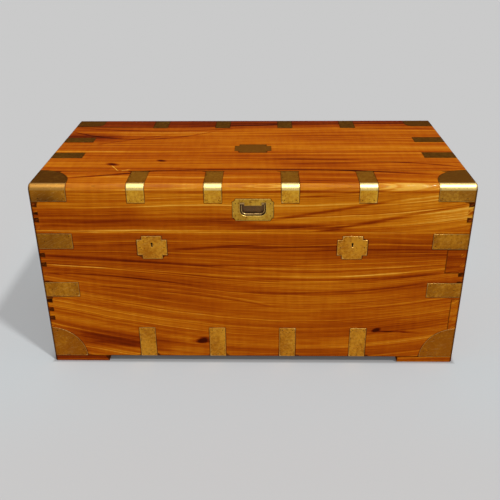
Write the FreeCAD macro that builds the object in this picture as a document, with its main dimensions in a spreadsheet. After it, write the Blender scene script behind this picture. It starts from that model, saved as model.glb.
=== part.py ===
import FreeCAD, Part
import math
import os
import re
import Sketcher

# Brass-bound camphorwood campaign chest, with a hinged lid, two locks and three flush handles.
# Millimetres. The origin is on the floor, in the middle of the chest: +X to the right, +Y to the back, +Z up.

SIZES = {
    # the chest as a whole
    "chest_length": 1040, "chest_depth": 524, "chest_height": 496, "lid_height": 118,
    # boards
    "wall": 16, "lid_top": 20, "floor_board": 14, "front_plank": 92, "floor_plank": 250,
    "nose_radius": 15, "back_radius": 6, "end_radius": 5,
    # feet
    "foot_height": 17, "foot_length": 143, "foot_width": 60, "foot_ease": 2,
    # dovetails: how many pins in each corner, and how wide a pin is at the board's end and at its root
    "carcass_pins": 14, "lid_pins": 5, "pin_tip": 7, "pin_root": 11,
    # dust lip inside the front and the ends
    "lip_thick": 8, "lip_height": 40, "lip_rise": 8, "lip_ease": 2, "lip_clearance": 1,
    # brass sheet let into the wood; over is how far a cutting solid stands proud
    "brass": 2, "inlay_gap": 0.15, "over": 3,
    # straps, seven shapes of arm
    "strap_width": 41, "strap_outer": 270.5, "strap_inner": 90, "end_strap_front": 54, "end_strap_back": 74,
    "front_arm": 45, "front_top_arm": 89, "back_arm": 45, "back_top_arm": 77,
    "end_arm": 45, "end_top_arm": 83, "base_arm": 87, "under_arm": 30,
    # round the carcass's corners
    "corner_arm": 88, "corner_strap": 40, "upper_strap_drop": 47, "lower_strap_rise": 180, "base_radius": 87,
    # plates on the lid's corners
    "front_corner_length": 87, "front_corner_depth": 97, "front_corner_round": 78,
    "back_corner_length": 79, "back_corner_depth": 60, "back_corner_round": 20, "corner_drop": 41,
    # cartouche
    "cartouche_length": 94, "cartouche_depth": 66, "cartouche_step_long": 12, "cartouche_step_deep": 13,
    # brass pins
    "brass_pin": 1.2, "brass_pin_long": 9, "brass_pin_short": 4.5, "pin_fit": 0.06, "pin_inset": 7,
    "bend_inset": 21, "round_pin_inset": 10, "round_pin_low": 17,
    # escutcheons
    "lock_place": 241, "escutcheon_width": 72, "escutcheon_height": 61, "escutcheon_drop": 43.5,
    "escutcheon_step_long": 12, "escutcheon_step_high": 10,
    "keyhole_drop": 33, "keyhole_radius": 2.6, "keyhole_slot": 3, "keyhole_long": 9,
    # locks and keepers
    "lock_width": 80, "lock_height": 56, "lock_depth": 11, "lock_wall": 1.5, "key_post": 1.2,
    "staple_place": 16, "staple_thick": 3, "staple_width": 6, "staple_long": 14, "staple_bar": 2,
    "staple_window": 3.4, "staple_window_high": 7, "staple_side_gap": 0.5, "staple_swing_gap": 0.9,
    "keeper_length": 62, "keeper_width": 9, "keeper_screw_inset": 4.5,
    "bolt_gap": 0.3, "bolt_bar": 9, "bolt_under_staple": 2, "prong_thick": 2.6, "prong_high": 5.6,
    "prong_arm": 6, "prong_standoff": 1.5, "prong_reach": 11, "talon": 3, "talon_width": 8,
    # hinges and the bevel of the back seam
    "hinge_place": 330, "hinge_length": 75, "hinge_leaf": 2, "hinge_arm": 70, "hinge_barrel": 3.5,
    "hinge_pin": 1.5, "hinge_fit": 0.06, "knuckle_gap": 0.3, "barrel_gap": 0.4, "barrel_relief": 0.5,
    "hinge_screw_across": 22, "hinge_screw_first": 28, "hinge_screw_inset": 14,
    "bevel_depth": 6, "bevel_height": 7.5,
    # screws
    "screw_head": 3.4, "screw_shank": 1.6, "screw_sink": 1.8, "screw_long": 11, "screw_fit": 0.08,
    # flush handle on the front of the lid
    "front_handle_place": 3, "front_handle_drop": 62.5,
    "front_plate_width": 96, "front_plate_height": 55, "front_plate_notch": 7,
    "front_recess_width": 61, "front_recess_height": 26, "front_recess_drop": 17, "front_recess_round": 14,
    "front_eye_width": 9, "front_eye_height": 8, "front_eye_radius": 3.2, "front_axle_depth": 4,
    "front_pan_depth": 12, "front_wire": 2.2,
    # flush carrying handles on the ends
    "side_handle_drop": 113,
    "side_plate_width": 130, "side_plate_height": 78, "side_plate_notch": 9,
    "side_recess_width": 90, "side_recess_height": 40, "side_recess_drop": 22, "side_recess_round": 18,
    "side_eye_width": 12, "side_eye_height": 11, "side_eye_radius": 4.2, "side_axle_depth": 5,
    "side_pan_depth": 13, "side_wire": 3,
    # shared by the flush handles
    "plate_thick": 2.2, "pan_wall": 2, "eye_gap": 0.6, "bail_gap": 1.2, "trunnion": 1.5, "trunnion_fit": 0.06,
    "plate_pin_inset": 7, "plate_pin_drop": 12,
}

DOC = FreeCAD.newDocument("campaign_chest")
SHEET = DOC.addObject("Spreadsheet::Sheet", "Sizes")
for row, (alias, size) in enumerate(SIZES.items(), start=1):
    SHEET.set(f"A{row}", alias)
    SHEET.set(f"B{row}", str(size))
    SHEET.setAlias(f"B{row}", alias)
READER = DOC.addObject("App::FeaturePython", "reader")
READER.addProperty("App::PropertyFloat", "Answer")
DOC.recompute()

# Places worked out from the sheet, as formulas
END = "chest_length/2"
BACK = "chest_depth/2"
FRONT = "-chest_depth/2"
SEAM = "(chest_height - lid_height)"
RAIL_TOP = "(chest_height - lid_top)"
LID_WALL = "(wall - lip_clearance)"
HINGE_Y = "(chest_depth/2 - bevel_depth)"
LOCK_Y = "(-chest_depth/2 + wall - lock_depth/2)"
BAR_TOP = f"({SEAM} - staple_long - bolt_under_staple)"
BAR_LOW = f"({BAR_TOP} - bolt_bar)"
PRONG_LOW = f"({SEAM} - staple_long + staple_bar + (staple_window_high - prong_high)/2)"

SIDES = {"left": -1, "right": 1}
CORNERS = {"front_left": (-1, -1), "front_right": (1, -1), "back_left": (-1, 1), "back_right": (1, 1)}
STRAP_PLACES = ("-strap_outer", "-strap_inner", "strap_inner", "strap_outer")
END_STRAP_PLACES = ("-end_strap_front", "end_strap_back")
DIAGONAL = math.sqrt(0.5)
KNUCKLES = 5
PARTS = []


# ---------------------------------------------------------------- formulas and solids

def formula(words):
    """The words with each size's name turned into a reference to the sheet."""
    return re.sub(r"\b[a-z_]+\b", lambda name: f"Sizes.{name[0]}" if name[0] in SIZES else name[0], words)


def value(words):
    """The number that a formula gives."""
    READER.setExpression("Answer", formula(words))
    READER.recompute()
    return READER.Answer


def bind(thing, prop, words):
    """Tie one property of an object to a formula on the sheet."""
    thing.setExpression(prop, formula(words))


def move(thing, place):
    """Tie an object's position to three formulas."""
    for axis, words in zip("xyz", place):
        bind(thing, f"Placement.Base.{axis}", words)
    return thing


def span(sign, near, far):
    """Low and high formula of a stretch from near to far, on the side that sign gives."""
    return (near, far) if sign > 0 else (f"-({far})", f"-({near})")


def about(middle, half):
    """Low and high formula of a stretch about a middle."""
    return f"{middle} - ({half})", f"{middle} + {half}"


def box(name, xs, ys, zs):
    """A box between three pairs of formulas."""
    block = DOC.addObject("Part::Box", name)
    for prop, (low, high) in zip(("Length", "Width", "Height"), (xs, ys, zs)):
        bind(block, prop, f"({high}) - ({low})")
    return move(block, (xs[0], ys[0], zs[0]))


TURNS = {
    "x": FreeCAD.Rotation(FreeCAD.Vector(0, 1, 0), 90), "-x": FreeCAD.Rotation(FreeCAD.Vector(0, 1, 0), -90),
    "y": FreeCAD.Rotation(FreeCAD.Vector(1, 0, 0), -90), "-y": FreeCAD.Rotation(FreeCAD.Vector(1, 0, 0), 90),
    "z": FreeCAD.Rotation(), "-z": FreeCAD.Rotation(FreeCAD.Vector(1, 0, 0), 180),
}


def rod(name, start, way, radius, length):
    """A cylinder from a point along one of the axes."""
    cylinder = DOC.addObject("Part::Cylinder", name)
    cylinder.Placement = FreeCAD.Placement(FreeCAD.Vector(), TURNS[way])
    bind(cylinder, "Radius", radius)
    bind(cylinder, "Height", length)
    return move(cylinder, start)


def screw(name, start, way, grow):
    """A countersunk wood screw driven from a point along an axis, or with grow the hole for it."""
    head = DOC.addObject("Part::Cone", f"{name}_head")
    head.Placement = FreeCAD.Placement(FreeCAD.Vector(), TURNS[way])
    bind(head, "Radius1", f"screw_head + {grow}")
    bind(head, "Radius2", f"screw_shank + {grow}")
    bind(head, "Height", "screw_sink")
    shank = rod(f"{name}_shank", start, way, f"screw_shank + {grow}", f"screw_long + {grow}")
    return fuse(name, move(head, start), shank)


def cut(name, base, *tools):
    """The base less each tool in turn."""
    for number, tool in enumerate(tools, start=1):
        step = DOC.addObject("Part::Cut", name if number == len(tools) else f"{name}_cut{number}")
        step.Base = base
        step.Tool = tool
        base = step
    return base


def common(name, first, second):
    """What two objects share."""
    shared = DOC.addObject("Part::Common", name)
    shared.Base = first
    shared.Tool = second
    return shared


def fuse(name, *pieces):
    """One solid of several that meet."""
    whole = DOC.addObject("Part::MultiFuse", name)
    whole.Shapes = list(pieces)
    return whole


def group(name, pieces):
    """Several separate solids as one object."""
    together = DOC.addObject("Part::Compound", name)
    together.Links = list(pieces)
    return together


def origin_feature(body, role):
    """One of the planes or axes of a body's own origin."""
    return next(feature for feature in body.Origin.OriginFeatures if feature.Role == role)


def sketch(body, name, role):
    """An empty sketch on one of the body's own origin planes."""
    drawing = body.newObject("Sketcher::SketchObject", name)
    drawing.AttachmentSupport = [(origin_feature(body, role), "")]
    drawing.MapMode = "FlatFace"
    return drawing


def dimension(drawing, kind, where, words):
    """Add a dimension to a sketch and tie it to a formula."""
    number = drawing.addConstraint(Sketcher.Constraint(kind, *where, value(words)))
    bind(drawing, f"Constraints[{number}]", words)


def polygon(drawing, corners):
    """A closed outline whose corners are tied to pairs of formulas."""
    first = drawing.GeometryCount
    spots = [FreeCAD.Vector(value(across), value(up), 0) for across, up in corners]
    for here, there in zip(spots, spots[1:] + spots[:1]):
        drawing.addGeometry(Part.LineSegment(here, there), False)
    for number, (across, up) in enumerate(corners):
        line, after = first + number, first + (number + 1) % len(corners)
        drawing.addConstraint(Sketcher.Constraint("Coincident", line, 2, after, 1))
        dimension(drawing, "DistanceX", (-1, 1, line, 1), across)
        dimension(drawing, "DistanceY", (-1, 1, line, 1), up)


def rectangle(us, vs):
    """The four corners of a rectangle between two pairs of formulas."""
    return [(us[0], vs[0]), (us[1], vs[0]), (us[1], vs[1]), (us[0], vs[1])]


def stepped(us, vs, step_u, step_v):
    """The twelve corners of a rectangle with a square notch out of each corner."""
    (u0, u3), (v0, v3) = us, vs
    u1, u2 = f"{u0} + {step_u}", f"{u3} - ({step_u})"
    v1, v2 = f"{v0} + {step_v}", f"{v3} - ({step_v})"
    return [(u1, v0), (u2, v0), (u2, v1), (u3, v1), (u3, v2), (u2, v2),
            (u2, v3), (u1, v3), (u1, v2), (u0, v2), (u0, v1), (u1, v1)]


def prism(name, role, corners, low, high):
    """A sketched outline on one origin plane, padded from low to high along that plane's axis."""
    body = DOC.addObject("PartDesign::Body", name)
    drawing = sketch(body, f"{name}_outline", role)
    polygon(drawing, corners)
    pad = body.newObject("PartDesign::Pad", f"{name}_pad")
    pad.Profile = drawing
    bind(pad, "Length", f"({high}) - ({low})")
    # a pad on the XZ plane grows towards -Y, the other two towards their axis's + end
    start = {"XY_Plane": ("0", "0", low), "XZ_Plane": ("0", high, "0"), "YZ_Plane": (low, "0", "0")}
    return move(body, start[role])


def edges_on(shape, sides, off=()):
    """Names of the edges that lie in all the named sides of the shape's box, and in none of off."""
    outer = shape.BoundBox

    def lies(edge, side):
        ends = (getattr(edge.BoundBox, side[0] + "Min"), getattr(edge.BoundBox, side[0] + "Max"))
        return all(abs(end - getattr(outer, side)) < 1e-3 for end in ends)

    return [f"Edge{number}" for number, edge in enumerate(shape.Edges, start=1)
            if all(lies(edge, side) for side in sides) and not any(lies(edge, side) for side in off)]


def round_edges(body, radius, *choices, off=()):
    """Fillet the edges of the body's last feature that each choice of box sides names."""
    DOC.recompute()
    last = body.Tip
    names = [name for sides in choices for name in edges_on(last.Shape, sides, off)]
    fillet = body.newObject("PartDesign::Fillet", f"{body.Name}_round{len(body.Group)}")
    fillet.Base = (last, names)
    bind(fillet, "Radius", radius)
    return body


def sub_part(piece, name):
    """Name a finished piece of the chest, which is written to a file of that name."""
    piece.Label = name
    PARTS.append(piece)
    return piece


# ---------------------------------------------------------------- the outside, and brass let in over it

def wrapped_block(name, inset):
    """The chest's outside above the feet, moved in by inset on every face."""
    ys = (f"{FRONT} + {inset}", f"{BACK} - ({inset})")
    zs = (f"foot_height + {inset}", f"chest_height - ({inset})")
    block = prism(name, "YZ_Plane", rectangle(ys, zs), f"-({END}) + {inset}", f"{END} - ({inset})")
    round_edges(block, f"nose_radius - ({inset})", ("YMin", "ZMax"))
    round_edges(block, f"back_radius - ({inset})", ("YMax", "ZMax"))
    return round_edges(block, f"end_radius - ({inset})", ("XMin",), ("XMax",), off=("ZMin",))


OUTSIDE = wrapped_block("outside", "0")
SHELL = cut("brass_shell", OUTSIDE, wrapped_block("under_brass", "brass"))
SOCKET_FLOOR = wrapped_block("socket_floor", "(brass + inlay_gap)")
SOCKETS = {"carcass": [], "lid": []}
BRASS = {"carcass": [], "lid": []}
PIN_SPOTS = {"carcass": [], "lid": []}

# From a spot on a face, the start of a pin there and the way that it is driven
FACES = {
    "front": lambda u, v: ((u, FRONT, v), "y"), "back": lambda u, v: ((u, BACK, v), "-y"),
    "left": lambda u, v: ((f"-({END})", u, v), "x"), "right": lambda u, v: ((END, u, v), "-x"),
    "top": lambda u, v: ((u, v, "chest_height"), "-z"),
}


def wrap(half, name, bounds):
    """Brass sheet over the outside and its sockets; bounds(grow, tag) gives the solids that bound it."""
    sheet = common(f"{name}_sheet", SHELL, group(f"{name}_bounds", bounds("0", "brass")))
    BRASS[half].append((name, sheet))
    room = group(f"{name}_room", bounds("inlay_gap", "room"))
    SOCKETS[half].append(cut(f"{name}_socket", room, SOCKET_FLOOR))


def wrap_boxes(half, name, places):
    """Brass sheet within boxes."""
    def bounds(grow, tag):
        grown = [[(f"{low} - ({grow})", f"{high} + {grow}") for low, high in place] for place in places]
        return [box(f"{name}_{tag}{number}", *place) for number, place in enumerate(grown)]

    wrap(half, name, bounds)


def add_pins(half, face, spots, length="brass_pin_long"):
    """Remember brass pins on one face; each spot is a pair of formulas on that face."""
    PIN_SPOTS[half] += [(face, across, up, length) for across, up in spots]


def arm_pins(middle, free_end, bend):
    """The pins of a strap's arm: two at its free end and one at its bend."""
    low, high = about(middle, "(strap_width/2 - pin_inset)")
    return [(low, free_end), (high, free_end), (middle, bend)]


def corner_faces(sx, sy):
    """The two upright faces that meet at a corner."""
    return ("front" if sy < 0 else "back"), ("left" if sx < 0 else "right")


def lid_edge_straps(name, sign, arm, top_arm):
    """Four straps over the lid's front (-1) or back (+1) top edge."""
    ys = span(sign, f"{BACK} - {top_arm}", f"{BACK} + over")
    zs = (f"chest_height - {arm}", "chest_height + over")
    wrap_boxes("lid", name, [(about(x, "strap_width/2"), ys, zs) for x in STRAP_PLACES])
    for x in STRAP_PLACES:
        pins = arm_pins(x, f"{BACK} - {top_arm} + pin_inset", f"{BACK} - bend_inset")
        add_pins("lid", "top", [(across, f"{sign}*({along})") for across, along in pins])
        low = f"chest_height - {arm} + pin_inset"
        add_pins("lid", "front" if sign < 0 else "back", arm_pins(x, low, low)[:2])


def lid_end_straps(name):
    """Two straps over each end of the lid."""
    places = []
    for side, sign in SIDES.items():
        for y in END_STRAP_PLACES:
            places.append((span(sign, f"{END} - end_top_arm", f"{END} + over"), about(y, "strap_width/2"),
                           ("chest_height - end_arm", "chest_height + over")))
            pins = arm_pins(y, f"{END} - end_top_arm + pin_inset", f"{END} - bend_inset")
            add_pins("lid", "top", [(f"{sign}*({along})", across) for across, along in pins])
            low = "chest_height - end_arm + pin_inset"
            add_pins("lid", side, arm_pins(y, low, low)[:2])
    wrap_boxes("lid", name, places)


BASE_Z = ("foot_height - over", "foot_height + base_arm")
BASE_PINS = ("foot_height + base_arm - pin_inset", "foot_height + pin_inset")


def base_straps(name, sign):
    """Four straps up from the bottom edge of the front (-1) or the back (+1)."""
    ys = span(sign, f"{BACK} - under_arm", f"{BACK} + over")
    wrap_boxes("carcass", name, [(about(x, "strap_width/2"), ys, BASE_Z) for x in STRAP_PLACES])
    for x in STRAP_PLACES:
        add_pins("carcass", "front" if sign < 0 else "back", arm_pins(x, *BASE_PINS))


def base_end_straps(name):
    """Two straps up from the bottom edge of each end."""
    places = []
    for side, sign in SIDES.items():
        xs = span(sign, f"{END} - under_arm", f"{END} + over")
        for y in END_STRAP_PLACES:
            places.append((xs, about(y, "strap_width/2"), BASE_Z))
            add_pins("carcass", side, arm_pins(y, *BASE_PINS))
    wrap_boxes("carcass", name, places)


def corner_straps(corner, sx, sy):
    """The upper and the lower strap round one upright corner of the carcass."""
    lows = (f"({SEAM} - upper_strap_drop)", "(foot_height + lower_strap_rise)")
    xs = span(sx, f"{END} - corner_arm", f"{END} + over")
    ys = span(sy, f"{BACK} - corner_arm", f"{BACK} + over")
    stretches = [(low, f"{low} + corner_strap") for low in lows]
    wrap_boxes("carcass", f"corner_straps_{corner}", [(xs, ys, zs) for zs in stretches])
    for low, high in stretches:
        for face, sign, edge in zip(corner_faces(sx, sy), (sx, sy), (END, BACK)):
            inner, bend = f"{sign}*({edge} - corner_arm + pin_inset)", f"{sign}*({edge} - bend_inset)"
            add_pins("carcass", face, [(inner, f"{low} + pin_inset"), (inner, f"{high} - pin_inset"),
                                       (bend, f"{low} + corner_strap/2")])


def base_corner(corner, sx, sy):
    """The quarter-round plate on both faces of one bottom corner."""
    name = f"base_corner_{corner}"
    ways = ("y" if sy < 0 else "-y"), ("x" if sx < 0 else "-x")
    starts = ((f"{sx}*({END})", f"{sy}*({BACK} + over)", "foot_height"),
              (f"{sx}*({END} + over)", f"{sy}*({BACK})", "foot_height"))

    def discs(grow, tag):
        return [fuse(f"{name}_{tag}", *[rod(f"{name}_{tag}_{way}", start, way, f"base_radius + {grow}",
                                            "over + end_radius") for start, way in zip(starts, ways)])]

    wrap("carcass", name, discs)
    far = "(base_radius - round_pin_inset)"
    spots = ((far, "round_pin_low"), ("round_pin_low", far), (f"{far}*{DIAGONAL}", f"{far}*{DIAGONAL}"))
    for face, sign, edge in zip(corner_faces(sx, sy), (sx, sy), (END, BACK)):
        placed = [(f"{sign}*({edge} - {along})", f"foot_height + {up}") for along, up in spots]
        add_pins("carcass", face, placed)


def lid_corner(corner, sx, sy):
    """The plate over three faces of one top corner, with its inner corner rounded on the top."""
    name = f"lid_corner_{corner}"
    kind = "front" if sy < 0 else "back"
    length, depth = f"{kind}_corner_length", f"{kind}_corner_depth"

    def blocks(grow, tag):
        xs = span(sx, f"{END} - {length} - {grow}", f"{END} + over")
        ys = span(sy, f"{BACK} - {depth} - {grow}", f"{BACK} + over")
        block = prism(f"{name}_{tag}", "XY_Plane", rectangle(xs, ys),
                      f"chest_height - corner_drop - {grow}", "chest_height + over")
        inner = ("XMin" if sx > 0 else "XMax", "YMin" if sy > 0 else "YMax")
        return [round_edges(block, f"{kind}_corner_round + {grow}", inner)]

    wrap("lid", name, blocks)
    near_x, near_y = f"{sx}*({END} - bend_inset)", f"{sy}*({BACK} - bend_inset)"
    far_x, far_y = f"{sx}*({END} - {length} + pin_inset)", f"{sy}*({BACK} - {depth} + pin_inset)"
    add_pins("lid", "top", [(near_x, near_y), (far_x, near_y), (near_x, far_y)])
    low = "chest_height - corner_drop + pin_inset"
    for face, spots in zip(corner_faces(sx, sy), ((near_x, far_x), (near_y, far_y))):
        add_pins("lid", face, [(spot, low) for spot in spots])


# ---------------------------------------------------------------- plates let into one face

def cartouche():
    """The bare plate in the middle of the top."""
    def plate(name, grow):
        xs, ys = about("0", f"cartouche_length/2 + {grow}"), about("0", f"cartouche_depth/2 + {grow}")
        outline = stepped(xs, ys, "cartouche_step_long", "cartouche_step_deep")
        return prism(name, "XY_Plane", outline, f"chest_height - brass - {grow}", "chest_height")

    BRASS["lid"].append(("cartouche", plate("cartouche_sheet", "0")))
    SOCKETS["lid"].append(plate("cartouche_socket", "inlay_gap"))
    add_pins("lid", "top", [(x, "0") for x in about("0", "(cartouche_length/2 - pin_inset)")])


def keyhole(name, middle):
    """A keyhole from outside into the lock: a round eye with a slot below it."""
    start = f"{FRONT} - over"
    depth = "over + wall - lock_depth + 2*lock_wall"
    eye = rod(f"{name}_eye", (middle, start, f"{SEAM} - keyhole_drop"), "y", "keyhole_radius", depth)
    slot = box(f"{name}_slot", about(middle, "keyhole_slot/2"), (start, f"{start} + {depth}"),
               (f"{SEAM} - keyhole_drop - keyhole_long", f"{SEAM} - keyhole_drop"))
    return fuse(f"{name}_keyhole", eye, slot)


def escutcheon(side, middle):
    """The stepped plate round a keyhole."""
    height = f"({SEAM} - escutcheon_drop)"

    def plate(name, grow):
        xs, zs = about(middle, f"escutcheon_width/2 + {grow}"), about(height, f"escutcheon_height/2 + {grow}")
        outline = stepped(xs, zs, "escutcheon_step_long", "escutcheon_step_high")
        return prism(name, "XZ_Plane", outline, FRONT, f"{FRONT} + brass + {grow}")

    name = f"escutcheon_{side}"
    BRASS["carcass"].append((name, cut(f"{name}_sheet", plate(f"{name}_plate", "0"), keyhole(name, middle))))
    SOCKETS["carcass"].append(plate(f"{name}_socket", "inlay_gap"))
    add_pins("carcass", "front", [(x, height) for x in about(middle, "(escutcheon_width/2 - pin_inset)")],
             "brass_pin_short")


# ---------------------------------------------------------------- locks

def lock(side, middle):
    """Box lock let into the front board from inside. Returns the room for it in the board, and its cap."""
    inner = f"{FRONT} + wall"
    outer = f"{inner} - lock_depth"
    xs = about(middle, "lock_width/2")
    zs = (f"{SEAM} - lock_height", SEAM)
    inner_xs = (f"{xs[0]} + lock_wall", f"{xs[1]} - lock_wall")
    inner_zs = (f"{zs[0]} + lock_wall", f"{zs[1]} - lock_wall")
    block = box(f"lock_block_{side}", xs, (outer, inner), zs)
    room = box(f"lock_room_{side}", inner_xs, (f"{outer} + lock_wall", f"{inner} + over"), inner_zs)
    slots = group(f"lock_slots_{side}", [
        box(f"lock_slot_{side}{number}", about(spot, "staple_thick/2 + staple_side_gap"),
            about(LOCK_Y, "staple_width/2 + staple_swing_gap"), (f"{SEAM} - 2*lock_wall", f"{SEAM} + over"))
        for number, spot in enumerate(about(middle, "staple_place"))])
    ledge = box(f"lock_ledge_{side}", (f"{xs[0]} + lock_wall/2", f"{middle} - talon_width"),
                (f"{outer} + lock_wall/2", f"{inner} - lock_wall"),
                (f"{BAR_LOW} - bolt_gap - lock_wall", f"{BAR_LOW} - bolt_gap"))
    walls = cut(f"lock_walls_{side}", block, room, slots, keyhole(f"lock_{side}", middle))
    sub_part(fuse(f"lock_case_{side}", walls, ledge), f"lock_case_{side}")
    plate = box(f"lock_cap_plate_{side}", inner_xs, (f"{inner} - lock_wall", inner), inner_zs)
    post_start = (middle, f"{inner} - lock_wall/2", f"{SEAM} - keyhole_drop")
    post = rod(f"lock_post_{side}", post_start, "-y", "key_post", "lock_depth - 2*lock_wall")
    return block, fuse(f"lock_cap_{side}", plate, post)


def bolt(side, middle):
    """The sliding bolt, drawn back: a bar with two arms, whose prongs point at the keeper's staples."""
    name = f"lock_bolt_{side}"
    tips = [f"{spot} - staple_thick/2 - prong_standoff" for spot in about(middle, "staple_place")]
    pieces = [box(f"{name}_bar", (f"{tips[0]} - prong_reach - prong_arm", tips[1]),
                  about(LOCK_Y, "(lock_depth/2 - lock_wall - bolt_gap)"), (BAR_LOW, BAR_TOP))]
    ys = about(LOCK_Y, "prong_thick/2")
    top = f"{PRONG_LOW} + prong_high"
    for number, tip in enumerate(tips):
        root = f"{tip} - prong_reach"
        pieces.append(box(f"{name}_arm{number}", (f"{root} - prong_arm", root), ys, (BAR_TOP, top)))
        pieces.append(box(f"{name}_prong{number}", (root, tip), ys, (PRONG_LOW, top)))
    talon = box(f"{name}_talon", about(middle, "talon_width/2"), (FRONT, f"{FRONT} + wall"),
                (f"{BAR_LOW} - over", f"{BAR_LOW} + talon"))
    return cut(name, fuse(f"{name}_blank", *pieces), talon)


def keeper_screws(side, middle, grow, tag):
    """The two screws that hold a keeper, or the holes for them."""
    spots = about(middle, "(keeper_length/2 - keeper_screw_inset)")
    return [screw(f"keeper_{tag}_{side}{number}", (x, LOCK_Y, SEAM), "z", grow)
            for number, x in enumerate(spots)]


def keeper_room(side, middle):
    """The room that a keeper's plate fills in the lid's front rail."""
    return box(f"keeper_room_{side}", about(middle, "keeper_length/2"), about(LOCK_Y, "keeper_width/2"),
               (SEAM, f"{SEAM} + brass"))


def keeper(side, middle, holes):
    """The plate under the lid's front rail, with two staples that drop into the lock."""
    name = f"lock_keeper_{side}"
    low = f"{SEAM} - staple_long"
    pieces = [keeper_room(f"{side}_plate", middle)]
    for number, spot in enumerate(about(middle, "staple_place")):
        xs = about(spot, "staple_thick/2")
        post = box(f"{name}_staple{number}", xs, about(LOCK_Y, "staple_width/2"), (low, f"{SEAM} + brass/2"))
        window = box(f"{name}_window{number}", (f"{xs[0]} - over", f"{xs[1]} + over"),
                     about(LOCK_Y, "staple_window/2"),
                     (f"{low} + staple_bar", f"{low} + staple_bar + staple_window_high"))
        pieces.append(cut(f"{name}_loop{number}", post, window))
    return cut(name, fuse(f"{name}_blank", *pieces), holes)


# ---------------------------------------------------------------- hinges

# For each leaf: the inner face that it lies on, its arm's heights, its flat's heights, its own knuckles
# and the other leaf's
LEAVES = {
    "lower": (f"({BACK} - wall)", (f"{SEAM} - hinge_arm", SEAM), (f"{SEAM} - hinge_leaf", SEAM),
              (0, 2, 4), (1, 3)),
    "upper": (f"({BACK} - {LID_WALL})", (SEAM, f"{SEAM} + hinge_arm"), (SEAM, f"{SEAM} + hinge_leaf"),
              (1, 3), (0, 2, 4)),
}


def knuckle_rods(name, middle, numbers, radius, longer):
    """Rods about the hinge's axis at the places of some knuckles, each longer by a formula at both ends."""
    rods = []
    for number in numbers:
        start = f"{middle} - hinge_length/2 + {number}*hinge_length/{KNUCKLES} + knuckle_gap/2 - {longer}"
        rods.append(rod(f"{name}{number}", (start, HINGE_Y, SEAM), "x", radius,
                        f"hinge_length/{KNUCKLES} - knuckle_gap + 2*{longer}"))
    return rods


def hinge_leaf(tag, side, middle, holes):
    """One leaf of a cranked hinge: an arm on the board's inner face, a flat on its edge, and knuckles."""
    name = f"hinge_{tag}_{side}"
    inner, arm_zs, flat_zs, own, other = LEAVES[tag]
    xs = about(middle, "hinge_length/2")
    arm = box(f"{name}_arm", xs, (inner, f"{inner} + hinge_leaf"), arm_zs)
    flat = box(f"{name}_flat", xs, (inner, f"{HINGE_Y} - hinge_barrel/2"), flat_zs)
    gaps = knuckle_rods(f"{name}_gap", middle, other, "hinge_barrel + barrel_gap", "knuckle_gap")
    notched = cut(f"{name}_notched", fuse(f"{name}_blank", arm, flat), group(f"{name}_gaps", gaps))
    whole = fuse(f"{name}_whole", notched, *knuckle_rods(f"{name}_knuckle", middle, own, "hinge_barrel", "0"))
    bore = rod(f"{name}_bore", (f"{xs[0]} - over", HINGE_Y, SEAM), "x", "hinge_pin + hinge_fit",
               "hinge_length + 2*over")
    return cut(f"{name}_leaf", whole, bore, holes)


def hinge_axis_rods(name, radius, longer):
    """A rod about the hinge axis at each hinge, longer than the hinge by a formula at both ends."""
    starts = {side: f"{sign}*hinge_place - hinge_length/2 - {longer}" for side, sign in SIDES.items()}
    return group(name, [rod(f"{name}_{side}", (start, HINGE_Y, SEAM), "x", radius, f"hinge_length + 2*{longer}")
                        for side, start in starts.items()])


def hinge_screws(tag, grow, kind):
    """Three screws through each hinge's lower or upper arm, or the holes for them."""
    way = "-" if tag == "lower" else "+"
    first, last = "hinge_screw_first", "(hinge_arm - hinge_screw_inset)"
    spots = (("-hinge_screw_across", first), ("+hinge_screw_across", first), ("", last))
    return [screw(f"hinge_{kind}_{tag}_{side}{number}",
                  (f"{sign}*hinge_place {across}", LEAVES[tag][0], f"{SEAM} {way} {along}"), "y", grow)
            for side, sign in SIDES.items() for number, (across, along) in enumerate(spots)]


# ---------------------------------------------------------------- flush handles

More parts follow.
